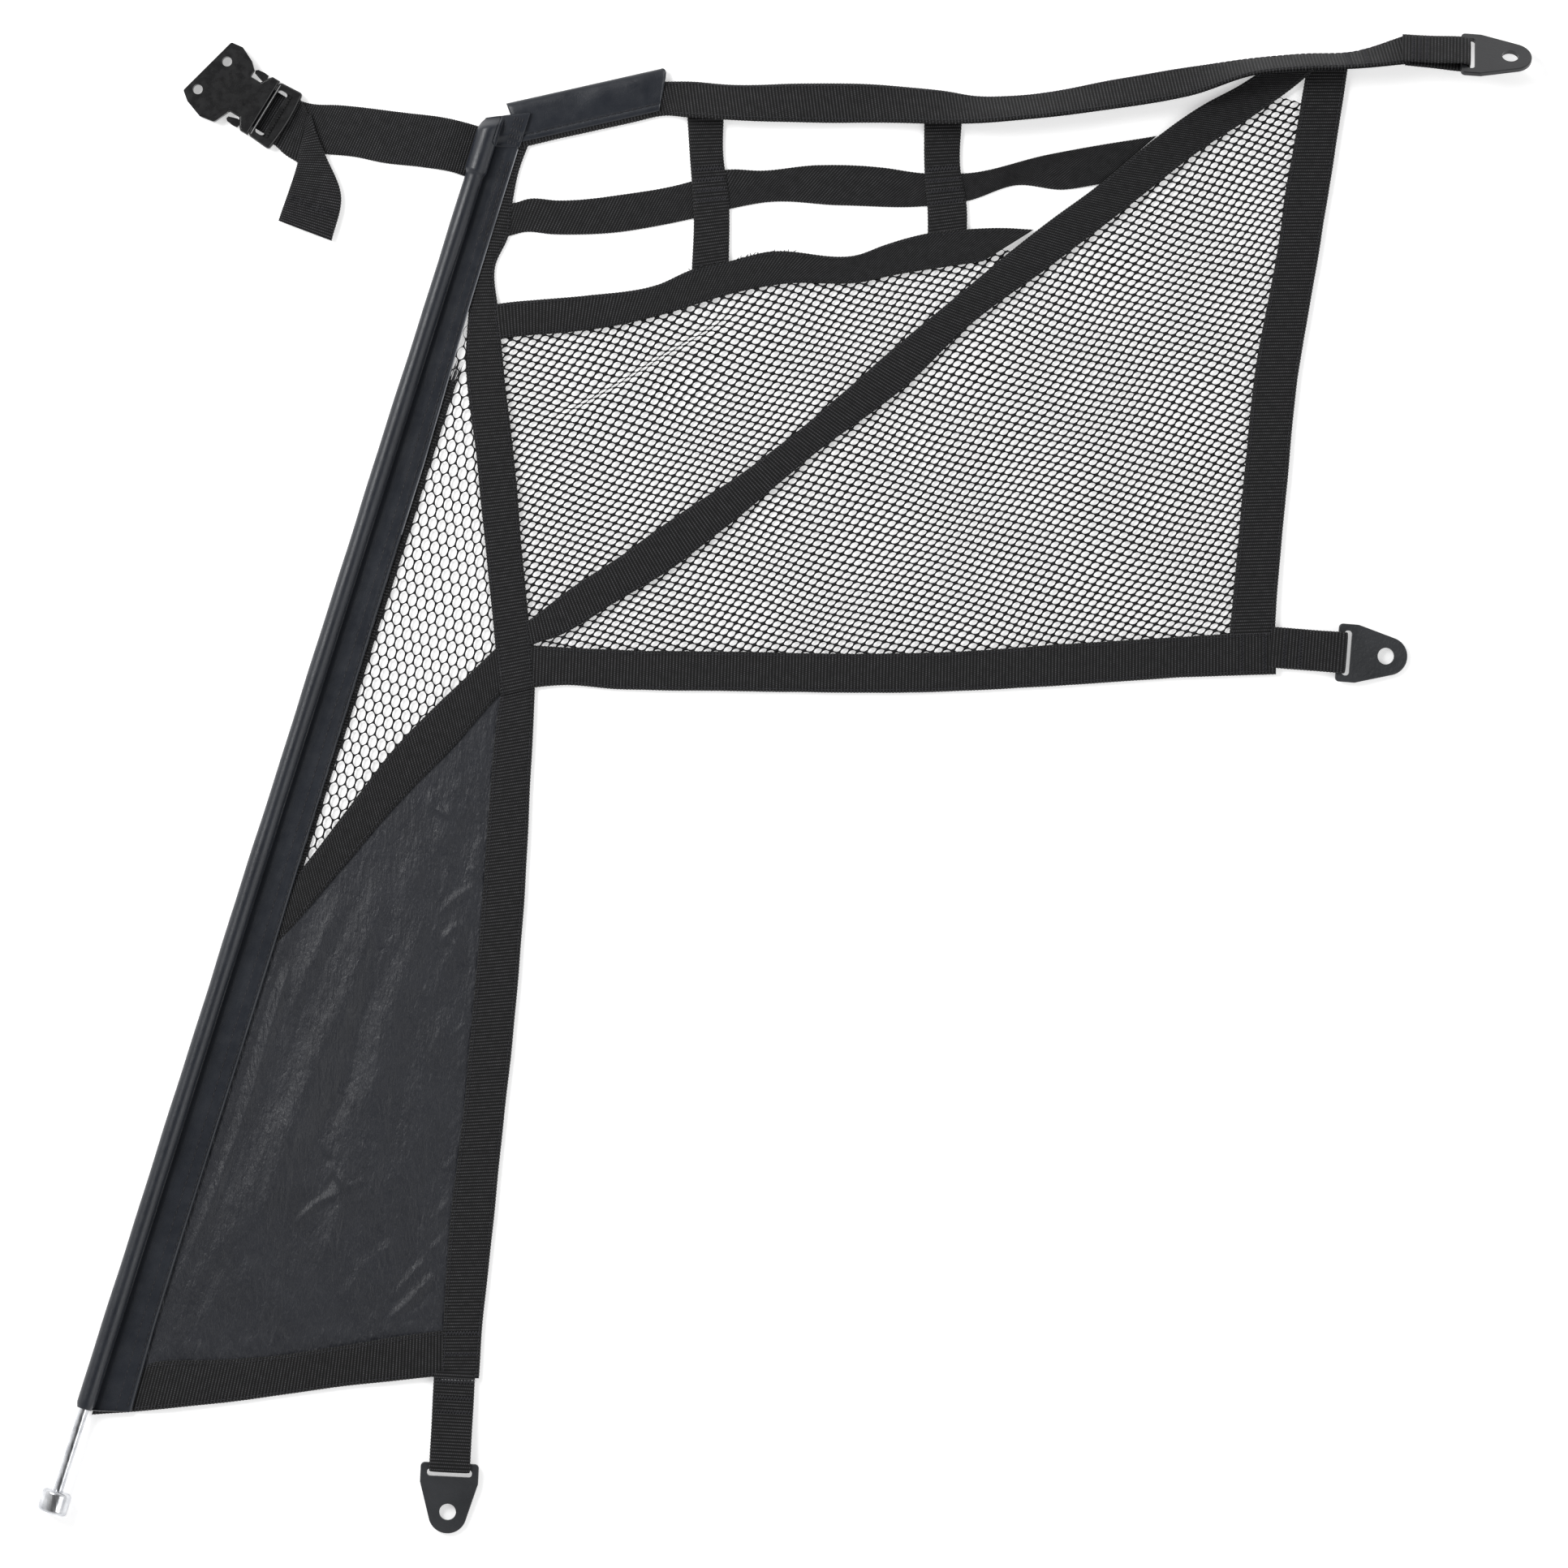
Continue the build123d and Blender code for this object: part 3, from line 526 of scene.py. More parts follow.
# the single straps
for label, left, right, z, body, replaced in (
    ("ladder_1", [(-58, 409), (-56.3, 377), (-53.8, 347), (-55, 303)],
     [(-35.5, 409), (-35.7, 377), (-32.8, 353), (-32.8, 307)], CORE_MID, "net", ["ladder_strap_1"]),
    ("ladder_2", [(84.8, 405), (84.8, 367), (86.7, 347), (86.7, 319)],
     [(107.7, 405), (106.7, 369), (110.2, 347), (110.2, 323)], CORE_MID, "net", ["ladder_strap_2"]),
    ("mid",
     [on_sleeve(16, 765, 0.75), on_sleeve(SEAM_D, 769, 0.75), (-154, 351.6), (-135, 350.6), (-98, 354),
      (-54, 362.6), (-34.8, 369), (-12, 368.6), (20.7, 372), (60, 370.5), (84.8, 367), (109.8, 367),
      (159, 378.3), (224.5, 389.5)],
     [on_sleeve(16, 743, 0.75), on_sleeve(SEAM_D, 747, 0.75), (-155, 331.7), (-138, 330.4),
      (-101, 331.4), (-53.4, 340), (-31.5, 345.7), (-12, 349.4), (33.8, 347.7), (86, 347.3),
      (110.6, 350.3), (140.5, 359.7), (168.5, 357.2), (191, 360.6)],
     BACK_MID, "fold", ["mid_strap"]),
    ("diagonal",
     [(-158, 95, 2.7), (-150, 100.4, 3.5), (-132.8, 114), (-100.5, 135), (-60, 164), (-31.7, 182),
      (86.3, 278.4), (156.5, 335.6), (189, 359.7), (224.5, 388.6), (252.5, 408.2), (275, 420.3),
      (287, 428, 4.6)],
     [(-156, 81, 2.7), (-148, 84.6, 3.5), (-137.9, 87.6), (-100.5, 109.3), (-68, 128.7), (-31.7, 156.2),
      (17, 196.7), (71.2, 236.8), (112.5, 275.9), (159.2, 310.2), (206, 345.7), (252.5, 382),
      (290, 406.3), (306, 418, 4.4), (320, 429.5, 4.9)],
     FRONT_MID, "net", ["diagonal_strap"]),
    ("centre_upper",
     [on_sleeve(6, 808, 2.2), on_sleeve(8, 750, 2.2), on_sleeve(21.4, 696, 1.4),
      on_sleeve(SEAM_D, 668, 1.9), (-184.3, 196.6), (-178.7, 140), (-173.8, 91.5), (-169.6, 53.2, 3.8)],
     [on_sleeve(25.6, 811, 2.2), on_sleeve(24.6, 785, 2.2), on_sleeve(26.6, 768, 2.2),
      on_sleeve(30.5, 749, 2.2), on_sleeve(28.2, 728, 2.0), (-171.4, 285.6, 3.2), (-167.3, 245),
      (-161.7, 196.6), (-156.8, 140), (-152.8, 99.6), (-149.6, 57.8, 3.8)],
     FRONT_MID, "fold", ["centre_strap_upper", "centre_strap_top_end"]),
    ("centre_lower",
     [(-168.9, 55.6, 3.0), (-170.6, 47, 3.4), (-175, 8.4), (-180, -62.5), (-187.5, -148.3),
      (-191, -187.6), (-199.3, -256.8), (-206.3, -357)],
     [(-149.2, 60.6, 3.0), (-149.4, 52, 3.4), (-151.2, 11.7), (-158.6, -112), (-168.3, -207.4),
      (-176, -281.6), (-181, -331), (-182.8, -357)],
     FRONT_MID, "net", ["centre_strap_lower"]),
    ("brace",
     [(-166, 87.5, 2.7), (-174.5, 79.6, 3.4), (-188.3, 66.4), (-232.8, 22.4), (-262.5, -16.3),
      (-274, -31.2), (-283, -42.8, 2.9), (-292, -54.4, 1.4), (-305, -71.2, 1.2), (-316, -85.6, 1.1)],
     [(-163, 61, 2.7), (-172.5, 51.6, 3.4), (-197.6, 23), (-234.4, -14.7), (-262.5, -47.7), (-285, -74),
      (-295.5, -86.5, 3.0), (-303.5, -95.8, 1.8), (-311, -104.6, 1.2)],
     FRONT_MID, "fold", ["brace_strap"]),
):
    obj, straps[label] = ribbon(
        f"webbing_{label}", left, right, webbing_mat, z, settle=0.5 if z == FRONT_MID else 0.1
    )
    place(obj, body, "webbing", *replaced)

sewn("stitching_net", [straps[k] for k in ("mesh_edge", "bottom", "rear", "diagonal", "centre_lower")])
sewn("stitching_fold", [straps[k] for k in ("hem", "centre_upper", "brace")], "fold")

# loose threads along the middle of the mesh's upper edge
CURLS = 34
face = straps["mesh_edge"]
stations = len(face["centre"])
outward = face["across"] * (1 if face["across"][stations // 2][1] > 0 else -1)
starts, ends = [], []
for at in np.sort(dice.uniform(0.36, 0.56, CURLS)):
    k = int(at * (stations - 1))
    starts.append(face["centre"][k] + outward[k] * (face["half"][k] - 0.3))
    reach = dice.uniform(0.6, 2.2)
    curl = (dice.uniform(-1.6, 1.6), 0, dice.uniform(-0.2, 0.6))
    ends.append(starts[-1] + outward[k] * reach + curl)
frayed = threads(
    "frayed_mesh_edge", np.array(starts), np.array(ends), upward(CURLS), thread_mat, 0.22, 0.2
)
place(frayed, "net", "webbing")


# ---- top strap ----------------------------------------------------------------------------------
TOP_STRAP = [
    # x, y, z, tilt in degrees, half width
    (-160, 394.2, 2.3, 0, 12.2), (-122, 403.0, 2.3, 0, 12.2), (-92, 409.2, 2.3, 0, 11.8),
    (-72, 411.7, 2.5, 0, 10.2), (-56, 411.1, 5.4, 24, 12.1), (-34, 409.3, 6.4, 28, 12.25),
    (8, 408.9, 6.0, 18, 12.25), (46, 408.8, 5.6, 14, 12.25), (70, 407.8, 6.8, 24, 12.25),
    (96, 406.0, 8.9, 34, 12.25), (114.6, 404.6, 10.9, 46, 12.25), (140.5, 405.6, 11.6, 51, 12.25),
    (202.4, 414.4, 10.6, 43, 12.25), (242.2, 421.3, 10.7, 44, 12.25), (282.1, 430, 12.9, 64, 12.25),
    (312, 432.8, 13.0, 65, 12.25), (343, 434.0, 13.2, 64, 12.25), (373.6, 440.1, 13.6, 44, 12.25),
]
upper, lower = [], []
for i, (x, y, z, tilt, half) in enumerate(TOP_STRAP):
    before, after = TOP_STRAP[max(i - 1, 0)], TOP_STRAP[min(i + 1, len(TOP_STRAP) - 1)]
    run = unit(np.array((after[0] - before[0], after[1] - before[1])))
    lean = radians(tilt)
    across = half * np.array((-run[1] * cos(lean), run[0] * cos(lean), -sin(lean)))
    upper.append(np.array((x, y, z)) + across)
    lower.append(np.array((x, y, z)) - across)
for label, shift, replaced in (
    ("front", WEB / 2 + 0.1, ["top_strap", "top_strap_front_end"]),
    ("back", -WEB / 2 - 0.1, ["top_strap_back"]),
):
    obj, straps["top_" + label] = ribbon(
        f"webbing_top_{label}", upper, lower, webbing_mat,
        settle=0.35 if shift > 0 else -0.35, shift=shift,
    )
    place(obj, "fold", "webbing", *replaced)
sewn("stitching_top", [straps["top_front"]], "fold", start=0.17, settle=0.35)


# ---- knitted mesh -------------------------------------------------------------------------------
def inside(outline, x, y):
    """Which points lie inside the outline: those with an odd number of its edges to the right."""
    odd = np.zeros(x.shape, bool)
    for (x0, y0), (x1, y1) in zip(outline, [*outline[1:], outline[0]]):
        crosses = (y0 > y) != (y1 > y)
        at = x0 + (y - y0) / (y1 - y0 if y1 != y0 else 1e-9) * (x1 - x0)
        odd ^= crosses & (x < at)
    return odd


def knit(name, origin, v1, v3, e, hole, keep, warp, z, reach, thick=0.5):
    """Hexagonal mesh. Its cells are spaced by v1 and v3, e is the short double strand between
    them, and hole is half of one hole's outline, listed clockwise; the other half mirrors it."""
    v1, v3, e = (np.asarray(v, float) for v in (v1, v3, e))
    i, j = np.meshgrid(np.arange(-reach, reach), np.arange(-reach, reach), indexing="ij")
    corner = np.asarray(origin) + i[..., None] * v1 + j[..., None] * v3
    middle = corner + (v1 + v3 + e) / 2
    used = keep(middle[..., 0], middle[..., 1])
    used[-1], used[:, -1] = False, False
    n = i.size
    kinds = [corner, corner + e, corner + (e + v1) / 2, corner + (e + v3) / 2]
    flat = np.concatenate([k.reshape(-1, 2) for k in kinds])
    high = np.concatenate([np.full(n, h) for h in (thick, thick, 0.82 * thick, 0.82 * thick)])
    ci, cj = np.nonzero(used)
    side = used.shape[1]

    def at(kind, di, dj):
        return kind * n + (ci + di) * side + (cj + dj)

    A, B, M1, M3 = 0, 1, 2, 3
    ring = np.stack(
        [at(B, 0, 0), at(M3, 0, 0), at(A, 0, 1), at(B, 0, 1), at(M1, 0, 1), at(A, 1, 1), at(M3, 1, 0),
         at(B, 1, 0), at(A, 1, 0), at(M1, 0, 0)], 1
    )
    hole = np.concatenate([np.asarray(hole, float), -np.asarray(hole, float)])
    inner = (middle[ci, cj][:, None] + hole[None]).reshape(-1, 2)
    inner_id = 2 * len(flat) + np.arange(len(inner)).reshape(-1, 10)
    xy = np.concatenate([flat, flat, inner])
    height = np.concatenate([high, -high, np.zeros(len(inner))])
    shift = warp(xy[:, 0], xy[:, 1])
    points = np.stack([xy[:, 0] + shift[0], xy[:, 1] + shift[1], z + height + shift[2]], 1)
    nxt = np.roll(ring, -1, 1)
    inner_next = np.roll(inner_id, -1, 1)
    low = len(flat)
    top = np.stack([ring, nxt, inner_next, inner_id], -1).reshape(-1, 4)
    under = np.stack([inner_id, inner_next, nxt + low, ring + low], -1).reshape(-1, 4)
    pairs = np.stack([ring, nxt], -1).reshape(-1, 2)
    _, first, uses = np.unique(np.sort(pairs, 1), axis=0, return_index=True, return_counts=True)
    rim = pairs[first[uses == 1]]
    rim = np.stack([rim[:, 1], rim[:, 0], rim[:, 0] + low, rim[:, 1] + low], -1)
    faces = np.concatenate([top, under, rim])
    kept, faces = np.unique(faces, return_inverse=True)
    return mesh_object(name, points[kept], faces.reshape(-1, 4).tolist(), yarn_mat)


RUCK = np.array(((-150, 214), (-20, 293)))          # its two ends


def main_warp(x, y):
    """Gentle waves, and one ruck below the strap along the mesh's upper edge."""
    dx = 0.8 * np.sin(x / 23 + y / 35) + 0.7 * np.sin(y / 19 - x / 47 + 1.0)
    dx += 0.25 * np.sin(x / 9.5 + y / 14)
    dy = 0.8 * np.sin(x / 27 - y / 26 + 2.0) + 0.6 * np.sin(x / 16 + y / 39)
    dy += 0.2 * np.sin(y / 8.7 - x / 12)
    calm = smooth(8, 40, 410 - y) * smooth(8, 30, y - 66)
    dz = calm * (0.8 * np.sin(x / 19 + y / 30) + 0.5 * np.sin(y / 15 - x / 33))
    run = RUCK[1] - RUCK[0]
    reach = np.linalg.norm(run)
    t = ((x - RUCK[0][0]) * run[0] + (y - RUCK[0][1]) * run[1]) / reach**2
    away = (-(x - RUCK[0][0]) * run[1] + (y - RUCK[0][1]) * run[0]) / reach + 5 * np.sin(2.6 * t)
    here = smooth(0.0, 0.25, t) * smooth(0.0, 0.25, 1 - t)
    pull = -2.6 * here * np.tanh(away / 4.0) * np.exp(-((away / 26) ** 2))
    dx = dx - pull * run[1] / reach
    dy = dy + pull * run[0] / reach
    return dx, dy, dz + 2.0 * here * np.exp(-((away / 5) ** 2))


MAIN_OUTLINE = [
    (-178, 256), (-172, 277), (-118, 281), (-88, 285.6), (-54, 296), (-12, 306), (46.8, 307.5),
    (66, 312), (94, 318), (122, 321), (150, 317), (207, 359), (252, 395), (290, 412), (322, 412),
    (315, 357), (310, 324.6), (295, 236.8), (286, 139.8), (282, 72), (163, 70), (17, 66), (-139, 70),
    (-160, 62), (-163, 91.5), (-167.6, 140), (-172.8, 196.6),
]
DIAGONAL_MIDDLE = [(-152, 90), (-100, 122), (-32, 169), (79, 258), (158, 323), (206, 359), (290, 412)]


def above_diagonal(x, y):
    line = np.array(DIAGONAL_MIDDLE)
    return y > np.interp(x, line[:, 0], line[:, 1])


MAIN_HOLE = [(-2.6, -0.86), (-1.8, 0.55), (-0.8, 1.32), (0.4, 1.7), (1.68, 1.52)]
for label, above, replaced in (("upper", True, ["main_mesh"]), ("lower", False, [])):
    obj = knit(
        f"mesh_main_{label}", (0, 0), (4.55, -1.25), (3.2, 3.75), (1.5, 0.5), MAIN_HOLE,
        lambda x, y: inside(MAIN_OUTLINE, x, y) & (above_diagonal(x, y) == above),
        main_warp, CORE_MID, 160, 0.48,
    )
    place(obj, "net", "mesh", *replaced)

# The front mesh has larger cells, which line up with the sleeve.
FRONT_OUTLINE = [
    on_sleeve(17, 318), on_sleeve(17, 655), (-182, 286), (-178.6, 256), (-172.8, 196.6), (-167.6, 140),
    (-163, 91.5), (-160, 68), (-173, 64), (-193, 48.7), (-233.6, 8), (-262.5, -28),
]


def front_warp(x, y):
    """Slight waves. This mesh lies a little lower than the main one."""
    return 0.25 * np.sin(y / 19 + x / 11), 0.25 * np.sin(x / 13 - y / 31), -0.35 * np.ones_like(x)


FRONT_HOLE = [(0, -3.85), (-1.36, -2.86), (-2.2, -1.8), (-2.2, 1.8), (-1.36, 2.86)]


def sleeve_vector(d, s):
    """A step to the right of the rod's axis and along it."""
    return d * RIGHT + s * UP


front_mesh = knit(
    "mesh_front", on_sleeve(30, 500),
    sleeve_vector(2.83, 6.8), sleeve_vector(-2.83, 6.8), sleeve_vector(0, 4.0),
    [sleeve_vector(*p) for p in FRONT_HOLE], lambda x, y: inside(FRONT_OUTLINE, x, y), front_warp,
    CORE_MID, 70, 0.66,
)
round_off = front_mesh.modifiers.new("round", "SUBSURF")
round_off.levels = round_off.render_levels = 1
place(front_mesh, "fold", "mesh", "front_mesh")


# ---- nylon panel --------------------------------------------------------------------------------
def ridge(x, y, line, height, width, tail=0.25):
    """How high a fold that follows this line stands, fading towards its ends."""
    line = spline(np.array(line, float), 25)
    best, where = np.full(x.shape, 1e9), np.zeros(x.shape)
    for k, (p, q) in enumerate(zip(line[:-1], line[1:])):
        run = q - p
        t = np.clip(((x - p[0]) * run[0] + (y - p[1]) * run[1]) / (run @ run), 0, 1)
        d = (x - p[0] - t * run[0]) ** 2 + (y - p[1] - t * run[1]) ** 2
        nearer = d < best
        best, where = np.where(nearer, d, best), np.where(nearer, (k + t) / 24, where)
    fade = smooth(0, tail, where) * smooth(0, tail, 1 - where)
    return height * np.exp(-best / width**2) * fade


# The panel is a grid between four corners, with u from the sleeve and v from the hem. Each fold
# is a line, a height, a width and how much of its length it takes to fade in.
CORNERS = [on_sleeve(21, 18), (-194, -346), (-166, 66), on_sleeve(21, 322)]
ROWS, COLUMNS = 300, 130
v, u = np.meshgrid(np.linspace(0, 1, ROWS), np.linspace(0, 1, COLUMNS), indexing="ij")
c0, c1, c2, c3 = (np.array(c) for c in CORNERS)
xy = (
    ((1 - u) * (1 - v))[..., None] * c0 + (u * (1 - v))[..., None] * c1
    + (u * v)[..., None] * c2 + ((1 - u) * v)[..., None] * c3
)
x, y = xy[..., 0], xy[..., 1]
FOLDS = [
    # pleats beside the sleeve
    ([(-306, -100), (-335, -185), (-359, -262), (-379, -320)], 2.6, 2.6, 0.08),
    ([(-295, -103), (-322, -193), (-348, -262), (-373, -316)], 2.0, 3.0, 0.1),
    ([(-301, -105), (-329, -190), (-354, -262), (-377, -322)], -1.0, 2.0, 0.1),
    # long soft folds and the hollow between them
    ([(-222, -22), (-255, -114), (-277, -158), (-294, -202), (-318, -259),
      (-346, -288)], 3.0, 9.0, 0.2),
    ([(-228, -22), (-237, -75), (-250, -120), (-261, -177), (-280, -215),
      (-280, -250)], -2.6, 7.0, 0.2),
    ([(-262, -60), (-285, -112), (-300, -150)], 1.5, 5.0, 0.3),
    ([(-300, -190), (-315, -230), (-330, -262)], 1.3, 5.0, 0.3),
    ([(-215, -60), (-225, -110), (-240, -165), (-250, -210)], 1.8, 8.0, 0.25),
    ([(-205, -130), (-215, -200), (-232, -255)], 1.2, 11.0, 0.3),
    ([(-241, -132), (-243, -166)], 0.7, 1.3, 0.3),
    ([(-263, -180), (-259, -196)], 0.7, 1.3, 0.3),
    ([(-291, -262), (-295, -308)], 1.0, 2.2, 0.3),
    ([(-303, -270), (-301, -320)], 0.8, 2.5, 0.3),
    ([(-335, -290), (-352, -335)], 1.0, 4.0, 0.3),
    ([(-318, -280), (-330, -330)], 0.8, 3.5, 0.3),
    # the pinch and what radiates from it
    ([(-273, -226), (-264, -242), (-262, -246)], 2.4, 1.7, 0.3),
    ([(-264, -244), (-280, -252), (-294, -266)], 1.9, 2.2, 0.3),
    ([(-263, -248), (-268, -262), (-276, -285)], 1.4, 2.6, 0.3),
    ([(-280, -218), (-270, -236), (-274, -246)], -1.6, 2.6, 0.3),
    ([(-262, -243), (-250, -236)], 0.9, 2.0, 0.3),
    # the crumple below the brace and the puckers along the centre strap
    ([(-213, -2), (-210, -14), (-200, -19), (-194, -34)], 2.2, 2.2, 0.25),
    ([(-206, -16), (-201, -45), (-205, -72)], 1.4, 3.0, 0.3),
    ([(-199, 5), (-191, -12), (-186, -25)], 1.3, 2.5, 0.3),
    ([(-187, -48), (-182, -60)], 1.8, 1.8, 0.3),
    ([(-182, -60), (-196, -68), (-207, -80)], 1.7, 2.4, 0.3),
    ([(-200, -90), (-189, -112)], 1.9, 2.0, 0.3),
    ([(-186, -84), (-197, -86), (-206, -98)], 1.3, 2.6, 0.3),
    ([(-180, -75), (-190, -96), (-186, -116)], -1.0, 3.0, 0.3),
    ([(-190, -143), (-199, -152)], 1.2, 1.7, 0.3),
    ([(-188, -165), (-197, -172)], 1.0, 1.7, 0.3),
    ([(-193, -198), (-201, -210)], 1.2, 1.7, 0.3),
    ([(-195, -222), (-204, -233)], 1.3, 1.7, 0.3),
    ([(-198, -248), (-207, -258)], 1.2, 1.7, 0.3),
    ([(-200, -268), (-212, -281)], 1.3, 1.9, 0.3),
    # slanting creases at the foot
    ([(-207, -292), (-228, -314), (-238, -323)], 2.0, 1.8, 0.25),
    ([(-214, -284), (-231, -304), (-236, -311)], 1.2, 1.7, 0.25),
    ([(-208, -300), (-226, -320)], -0.8, 2.0, 0.25),
    ([(-228, -270), (-250, -290), (-268, -318)], 1.1, 4.5, 0.3),
]
CREASE_WIDTH, CREASE_SHARE, FOLD_SHARE = 3.2, 0.62, 0.85
height = np.zeros_like(x)
for line, tall, wide, tail in FOLDS:
    crease = wide < CREASE_WIDTH and tail > 0.15
    height += ridge(x, y, line, tall * (CREASE_SHARE if crease else FOLD_SHARE), wide, tail)
# short gathers along the hem
GATHERS = 15
for k in range(GATHERS):
    foot = np.array((-372 + 12.3 * k, -358 + 1.45 * k + 12 - 0.35 * k))
    swing = 3.0 * sin(2.1 * k)
    line = [(foot[0], foot[1] - 4), (foot[0] + swing, foot[1] + 9 + 3 * sin(1.7 * k))]
    height += ridge(x, y, line, 0.75 + 0.35 * sin(3.3 * k), 1.9, 0.35)
along = (x - MOUTH[0]) * UP[0] + (y - MOUTH[1]) * UP[1]
right = (x - MOUTH[0]) * RIGHT[0] + (y - MOUTH[1]) * RIGHT[1]
# fine ripples that run with the sleeve, by their length across it, along it and their height
RIPPLES = ((3.1, 31, 0.22), (5.3, 47, 0.3), (8.9, 63, 0.36), (1.9, 17, 0.07))
for k, (a, b, size) in enumerate(RIPPLES):
    strength = 0.6 + 0.4 * np.sin(along / (b * 0.7) + 2 * k)
    height += size * np.sin(right / a + np.sin(along / b + k) * 2.2 + 1.3 * k) * strength
edge = np.minimum(
    np.minimum(smooth(0.03, 0.12, u), smooth(0.02, 0.12, 1 - u)),
    np.minimum(smooth(0.03, 0.09, v), smooth(0.03, 0.09, 1 - v)),
)
belly = 1.6 * smooth(0.05, 0.4, u) * smooth(0.05, 0.4, 1 - u)
belly = belly * smooth(0.04, 0.3, v) * smooth(0.04, 0.3, 1 - v)
height = np.maximum(2.0 + belly + height * np.maximum(edge, 0.12), 1.3)
# flat where it is sewn under the sleeve
SEWN_Z = 1.9
free = smooth(24, 30, right)
height = np.where(right < 27.5, SEWN_Z, height) * free + SEWN_Z * (1 - free)
panel = mesh_object(
    "panel_lower", np.stack([x, y, height], -1).reshape(-1, 3),
    grid_faces(ROWS, COLUMNS).tolist(), nylon_mat,
)
if sum(p.normal.z for p in panel.data.polygons[:50]) < 0:
    panel.data.flip_normals()
thick = panel.modifiers.new("thickness", "SOLIDIFY")
thick.thickness, thick.offset = 0.4 * MM, -1
place(panel, "fold", "panel_fabric", "lower_panel")


# ---- rod sleeve ---------------------------------------------------------------------------------
# A tube round the rod with a flange to its right. s is the place along it. It swells over the
# rod's end cap and closes behind it.
SLEEVE_END = 811.0
EDGE_OF_VINYL = [
    (0, 27.4), (60, 25.4), (300, 25.2), (420, 24.0), (600, 23.4), (700, 21.0), (SLEEVE_END, 20.2),
]
FLANGE_TOP, FLANGE_UNDER = 4.4, 2.0
s = np.concatenate([
    [0, 0.6, 1.6, 3.2, 6], np.linspace(10, 770, 230), np.linspace(772, 782, 12), np.linspace(784, 803, 16),
    [804, 805, 806, 807, 808, 809, 809.8, 810.4, 810.8, SLEEVE_END],
])
swell = smooth(776.5, 779.5, s)
close = smooth(803.5, SLEEVE_END, s)
radius = 5.3 + 1.4 * swell + 0.12 * np.sin(s / 23) + 0.08 * np.sin(s / 9.1 + 1)
radius = radius * (1 - 0.16 * (1 - smooth(0, 3, s)))
narrow = 1 - 0.22 * close - 0.2 * smooth(808, SLEEVE_END, s)
edge_s, edge_places = zip(*EDGE_OF_VINYL)
edge_d = np.interp(s, edge_s, edge_places) + 0.12 * np.sin(s / 31)
arc = np.radians([-32, -14, *range(4, 245, 20), 262])
section = []
sag = 0.18 * np.sin(s / 37) + 0.12 * np.sin(s / 13)
flange = FLANGE_TOP + 0.25 * smooth(700, 790, s) + 2.1 * smooth(794.5, 799, s)
under = FLANGE_UNDER + 3.4 * smooth(794.5, 799, s)
for share, lift in ((0.0, -1.15), (0.0, -0.9), (-0.55, -0.3), (-0.95, -0.03)):
    section.append((edge_d + share, flange + lift + 0 * s))
for part, lift in (
    (0.9, 0.08), (0.78, -0.1), (0.7, 0.02), (0.55, 0.3), (0.42, 0.05), (0.3, 0.32), (0.15, 0.45),
):
    section.append((6.2 + part * (edge_d - 6.2), flange + lift + sag * part * 0.6))
section.append((5.9 + 0.9 * swell, flange + 0.25 + 0 * s))
section.append((5.0 + 1.1 * swell, flange - 0.25 + 0 * s))
for a in arc:
    wobble = 1 + 0.012 * np.sin(s / 41 + 2 * a)
    section.append((
        radius * narrow * np.cos(a) * wobble,
        ROD_Z - 2.3 * close + radius * (1 - 0.82 * close) * np.sin(a) * wobble,
    ))
section.append((3.0 + 0 * s, 2.6 + under - FLANGE_UNDER))
section.append((7.0 + 0 * s, under))
section.append((0.6 * edge_d, under))
section.append((edge_d - 0.6, under))
section.append((edge_d - 0.1, under + 0.25))
section.append((edge_d - 0.05, under + 1.0))
around = len(section)
section = np.array(section)
d, z = section[:, 0].T, section[:, 1].T
station = s[:, None] + np.maximum(0, d - 6) * 0.294 * (1 - smooth(0, 60, s))[:, None]
station += (d + 5) * 0.46 * smooth(780, 810, s)[:, None]
flat_xy = MOUTH + d[..., None] * RIGHT + station[..., None] * UP
outer = np.concatenate([flat_xy, z[..., None]], -1)
# the bore that the rod comes out of
BORE_RADIUS = 3.8
BORE_DEPTHS = (22.0, 4.0, 0.3)
turn = np.arctan2(z[0] - ROD_Z, d[0])
bore = []
for depth in BORE_DEPTHS:
    ring_xy = MOUTH + (BORE_RADIUS * np.cos(turn))[:, None] * RIGHT
    ring_xy = ring_xy + np.full((around, 1), depth) * UP
    bore.append(np.concatenate([ring_xy, (ROD_Z + BORE_RADIUS * np.sin(turn))[:, None]], -1))
points = np.concatenate([np.array(bore), outer]).reshape(-1, 3)
rings = len(s) + len(BORE_DEPTHS)
sleeve_faces = loft_faces(rings, around)
# painted highlight: along the upper part, the two outer faces of the flange's cut edge get a light colour,
# standing for the light that its raised edge catches
HIGHLIGHT_FROM, HIGHLIGHT_TO = 556, 794
painted_highlight_faces = np.zeros(len(sleeve_faces), int)
grid = np.arange((rings - 1) * around).reshape(rings - 1, around)
high_up = np.concatenate([np.zeros(len(BORE_DEPTHS)), s[:-1]])
for k in (0, 1):
    painted_highlight_faces[grid[(high_up > HIGHLIGHT_FROM) & (high_up < HIGHLIGHT_TO), k]] = 1
sleeve = mesh_object("vinyl_sleeve", points, sleeve_faces, vinyl_mat, second=(edge_highlight_mat, painted_highlight_faces))
place(sleeve, "sleeve", "vinyl", "rod_sleeve")


